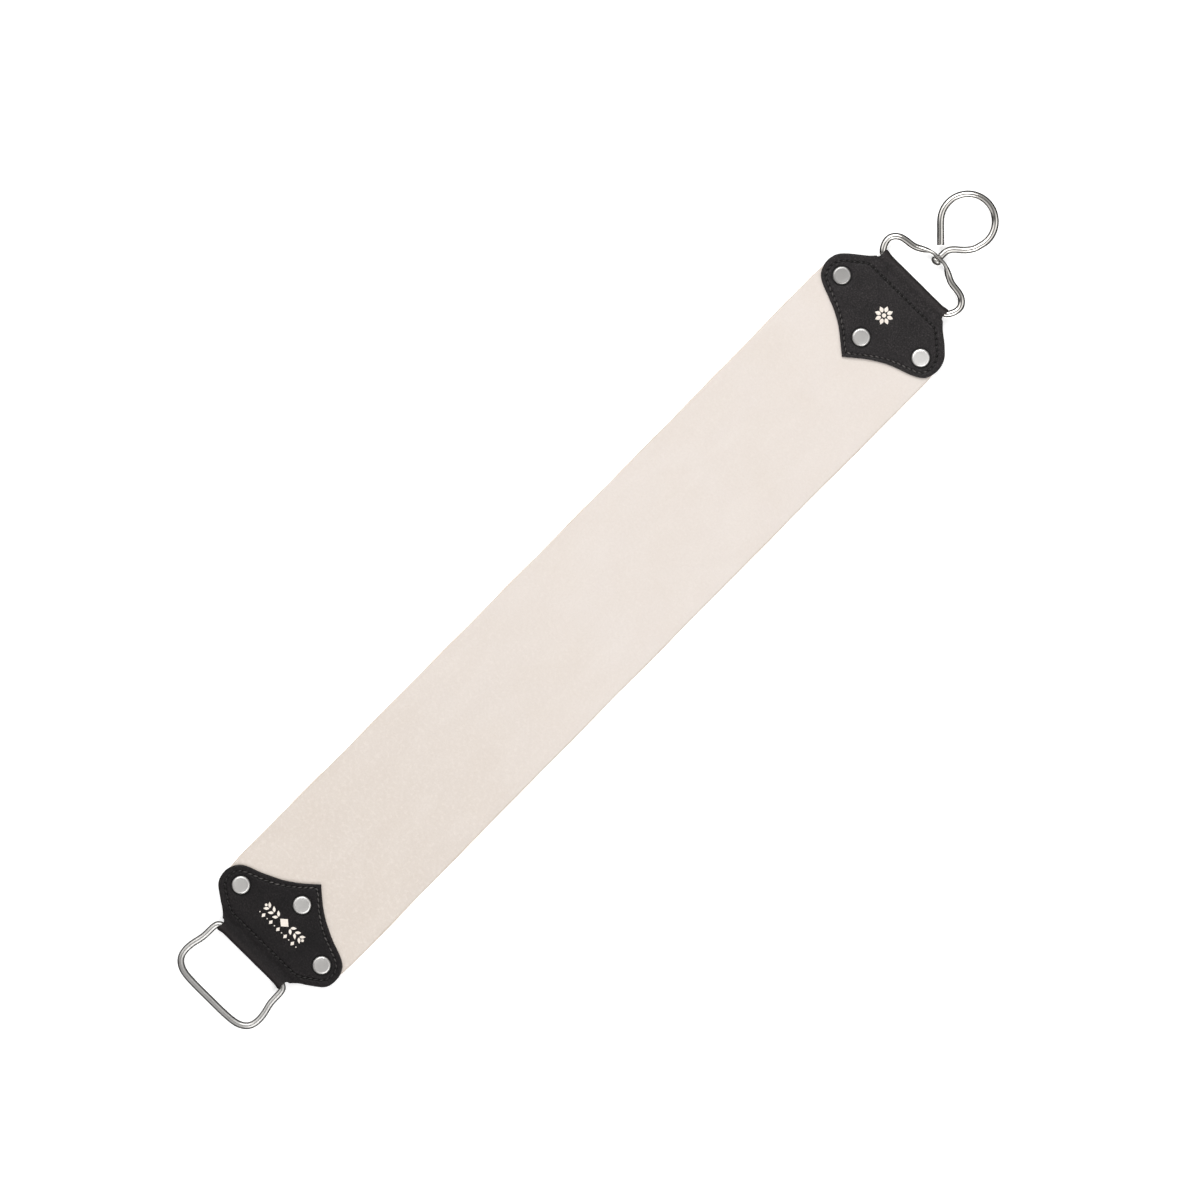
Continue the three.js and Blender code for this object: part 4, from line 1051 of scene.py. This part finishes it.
# ---- floor, light, camera ----
def build_stage():
    floor_z = float(box_mm("top_left_rivet_back")[0][2]) - 0.02
    me = bpy.data.meshes.new("studio_floor")
    r = 6.0
    me.from_pydata([(-r, -r, floor_z * MM), (r, -r, floor_z * MM), (r, r, floor_z * MM), (-r, r, floor_z * MM)], [], [(0, 1, 2, 3)])
    floor = bpy.data.objects.new("studio_floor", me)
    scene.collection.objects.link(floor)
    g = Graph("studio_floor")
    at = g.place_coords()
    paper = g.noise(at, 40, 2.0, 0.5)
    # The metal sees past the table into dark space, as it would on a light box whose glow only goes straight up.
    # Seen from underneath the table is clear, and a lamp below it reaches the underside of the piece.
    path = g.node("LightPath").outputs
    under = g.calc("MULTIPLY", path["Is Camera Ray"], g.node("NewGeometry").outputs["Backfacing"])
    clear = g.calc("MINIMUM", g.calc("ADD", g.calc("ADD", under, path["Is Glossy Ray"]), path["Is Shadow Ray"]), 1.0)
    pale = g.mix(g.span(paper, 0.3, 0.7), (0.955, 0.955, 0.955, 1), (0.965, 0.965, 0.965, 1))
    me.materials.append(g.finish(Base_Color=pale, Roughness=0.9, Specular_IOR_Level=0.1, Alpha=g.calc("SUBTRACT", 1.0, clear),
                                 Emission_Color=(1, 1, 1, 1), Emission_Strength=g.calc("ADD", g.calc("MULTIPLY", path["Is Camera Ray"], 0.2), 0.2)))
    # The table sinks under a wire that is swung down or a hook that is turned, so that nothing is buried in it.
    sink = floor.driver_add("location", 2).driver
    sink.type = "SCRIPTED"
    for name, body, channel in (("b", "bail", "ROT_X"), ("h", "handle", "ROT_X"), ("k", "hook", "ROT_Y")):
        var = sink.variables.new()
        var.name, var.type = name, "TRANSFORMS"
        var.targets[0].id = frame["bodies"][body]
        var.targets[0].transform_type = channel
        var.targets[0].transform_space = "WORLD_SPACE"
    sink.expression = "min(0, 0.049 * sin(b), -0.0275 * sin(h)) - 0.0125 * abs(sin(k))"

    world = bpy.data.worlds.new("studio")
    scene.world = world
    world.use_nodes = True
    t = world.node_tree
    t.nodes.clear()
    tc = t.nodes.new("ShaderNodeTexCoord")
    xyz = t.nodes.new("ShaderNodeSeparateXYZ")
    t.links.new(tc.outputs["Generated"], xyz.inputs[0])
    ramp = t.nodes.new("ShaderNodeValToRGB")
    ramp.color_ramp.interpolation = "EASE"
    stops = [(0.0, 0.05), (0.10, 0.06), (0.24, 0.12), (0.40, 1.25), (0.80, 1.34), (0.92, 0.50), (1.0, 0.30)]
    el = ramp.color_ramp.elements
    while len(el) < len(stops):
        el.new(0.5)
    for e, (pos, v) in zip(el, stops):
        e.position, e.color = pos, (v, v * 0.995, v * 0.985, 1)
    rise = t.nodes.new("ShaderNodeMath")
    rise.operation, rise.use_clamp = "MULTIPLY", True
    t.links.new(xyz.outputs[0], rise.inputs[0])
    rise.inputs[1].default_value = 1.0
    drop = t.nodes.new("ShaderNodeMath")
    drop.operation = "MULTIPLY_ADD"
    t.links.new(rise.outputs[0], drop.inputs[0])
    drop.inputs[1].default_value = -0.25
    t.links.new(xyz.outputs[2], drop.inputs[2])
    t.links.new(drop.outputs[0], ramp.inputs[0])
    bg = t.nodes.new("ShaderNodeBackground")
    t.links.new(ramp.outputs[0], bg.inputs[0])
    # The large side panels stand along the strap; its two ends look into dimmer space.
    def calc(op, a, b):
        n = t.nodes.new("ShaderNodeMath")
        n.operation = op
        for i, v in enumerate((a, b)):
            if isinstance(v, bpy.types.NodeSocket):
                t.links.new(v, n.inputs[i])
            else:
                n.inputs[i].default_value = v
        return n.outputs[0]

    xx = calc("MULTIPLY", xyz.outputs[0], xyz.outputs[0])
    yy = calc("MULTIPLY", xyz.outputs[1], xyz.outputs[1])
    share = calc("DIVIDE", calc("ADD", xx, 0.01), calc("ADD", calc("ADD", xx, yy), 0.02))
    level = calc("ADD", calc("MULTIPLY", share, 0.72), 0.44)
    off = calc("MULTIPLY", calc("SUBTRACT", share, 0.48), 4.2)
    corner = calc("POWER", 2.718, calc("MULTIPLY", calc("MULTIPLY", off, off), -1.0))
    low = calc("MAXIMUM", calc("MINIMUM", calc("MULTIPLY", xyz.outputs[1], -5.0), 1.0), 0.0)
    far = calc("MAXIMUM", calc("MINIMUM", calc("MULTIPLY", xyz.outputs[1], 2.5), 1.0), 0.0)
    level = calc("SUBTRACT", calc("ADD", level, calc("MULTIPLY", low, 0.22)), calc("MULTIPLY", far, 0.10))
    level = calc("MAXIMUM", calc("SUBTRACT", level, calc("MULTIPLY", calc("MULTIPLY", corner, low), 0.9)), 0.04)
    aside = calc("MAXIMUM", calc("MINIMUM", calc("MULTIPLY", xyz.outputs[0], 5.0), 1.0), 0.0)
    level = calc("ADD", level, calc("MULTIPLY", calc("MULTIPLY", corner, calc("MULTIPLY", far, aside)), 0.5))
    t.links.new(level, bg.inputs[1])
    pale = t.nodes.new("ShaderNodeBackground")
    pale.inputs[0].default_value = (0.9, 0.9, 0.9, 1)
    path = t.nodes.new("ShaderNodeLightPath")
    mix = t.nodes.new("ShaderNodeMixShader")
    t.links.new(path.outputs["Is Camera Ray"], mix.inputs[0])
    t.links.new(bg.outputs[0], mix.inputs[1])
    t.links.new(pale.outputs[0], mix.inputs[2])
    out = t.nodes.new("ShaderNodeOutputWorld")
    t.links.new(mix.outputs[0], out.inputs[0])

    def area(name, where, size, watts, aim=(0, 0, 0)):
        light = bpy.data.lights.new(name, "AREA")
        light.shape, light.size, light.size_y, light.energy = "RECTANGLE", size[0], size[1], watts
        ob = bpy.data.objects.new(name, light)
        scene.collection.objects.link(ob)
        ob.location = where
        ob.rotation_euler = (Vector(aim) - Vector(where)).to_track_quat("-Z", "Y").to_euler()
        ob.visible_camera = False
        return ob

    area("key_softbox", (-1.15, 0.9, 1.7), (1.5, 1.2), 27)
    area("fill_softbox", (1.4, -0.8, 1.7), (1.5, 1.5), 17)
    area("under_softbox", (0.35, -0.2, -1.3), (1.2, 1.2), 13)


build_stage()


def build_camera():
    cam = bpy.data.cameras.new("camera")
    cam.type = "PERSP"
    cam.lens, cam.sensor_width = 200, 36
    cam.clip_start, cam.clip_end = 0.05, 30
    ob = bpy.data.objects.new("camera", cam)
    scene.collection.objects.link(ob)
    right, up, back = Vector((0.7118, 0.7024, 0)).normalized(), Vector((-0.7024, 0.7118, 0)).normalized(), Vector((0, 0, 1))
    m = Matrix((right, up, back)).transposed().to_4x4()
    m.translation = Vector((-0.00056, 0.01092, 2.8))
    ob.matrix_world = m
    scene.camera = ob


build_camera()
scene.view_settings.view_transform = "Standard"
scene.view_settings.look = "None"
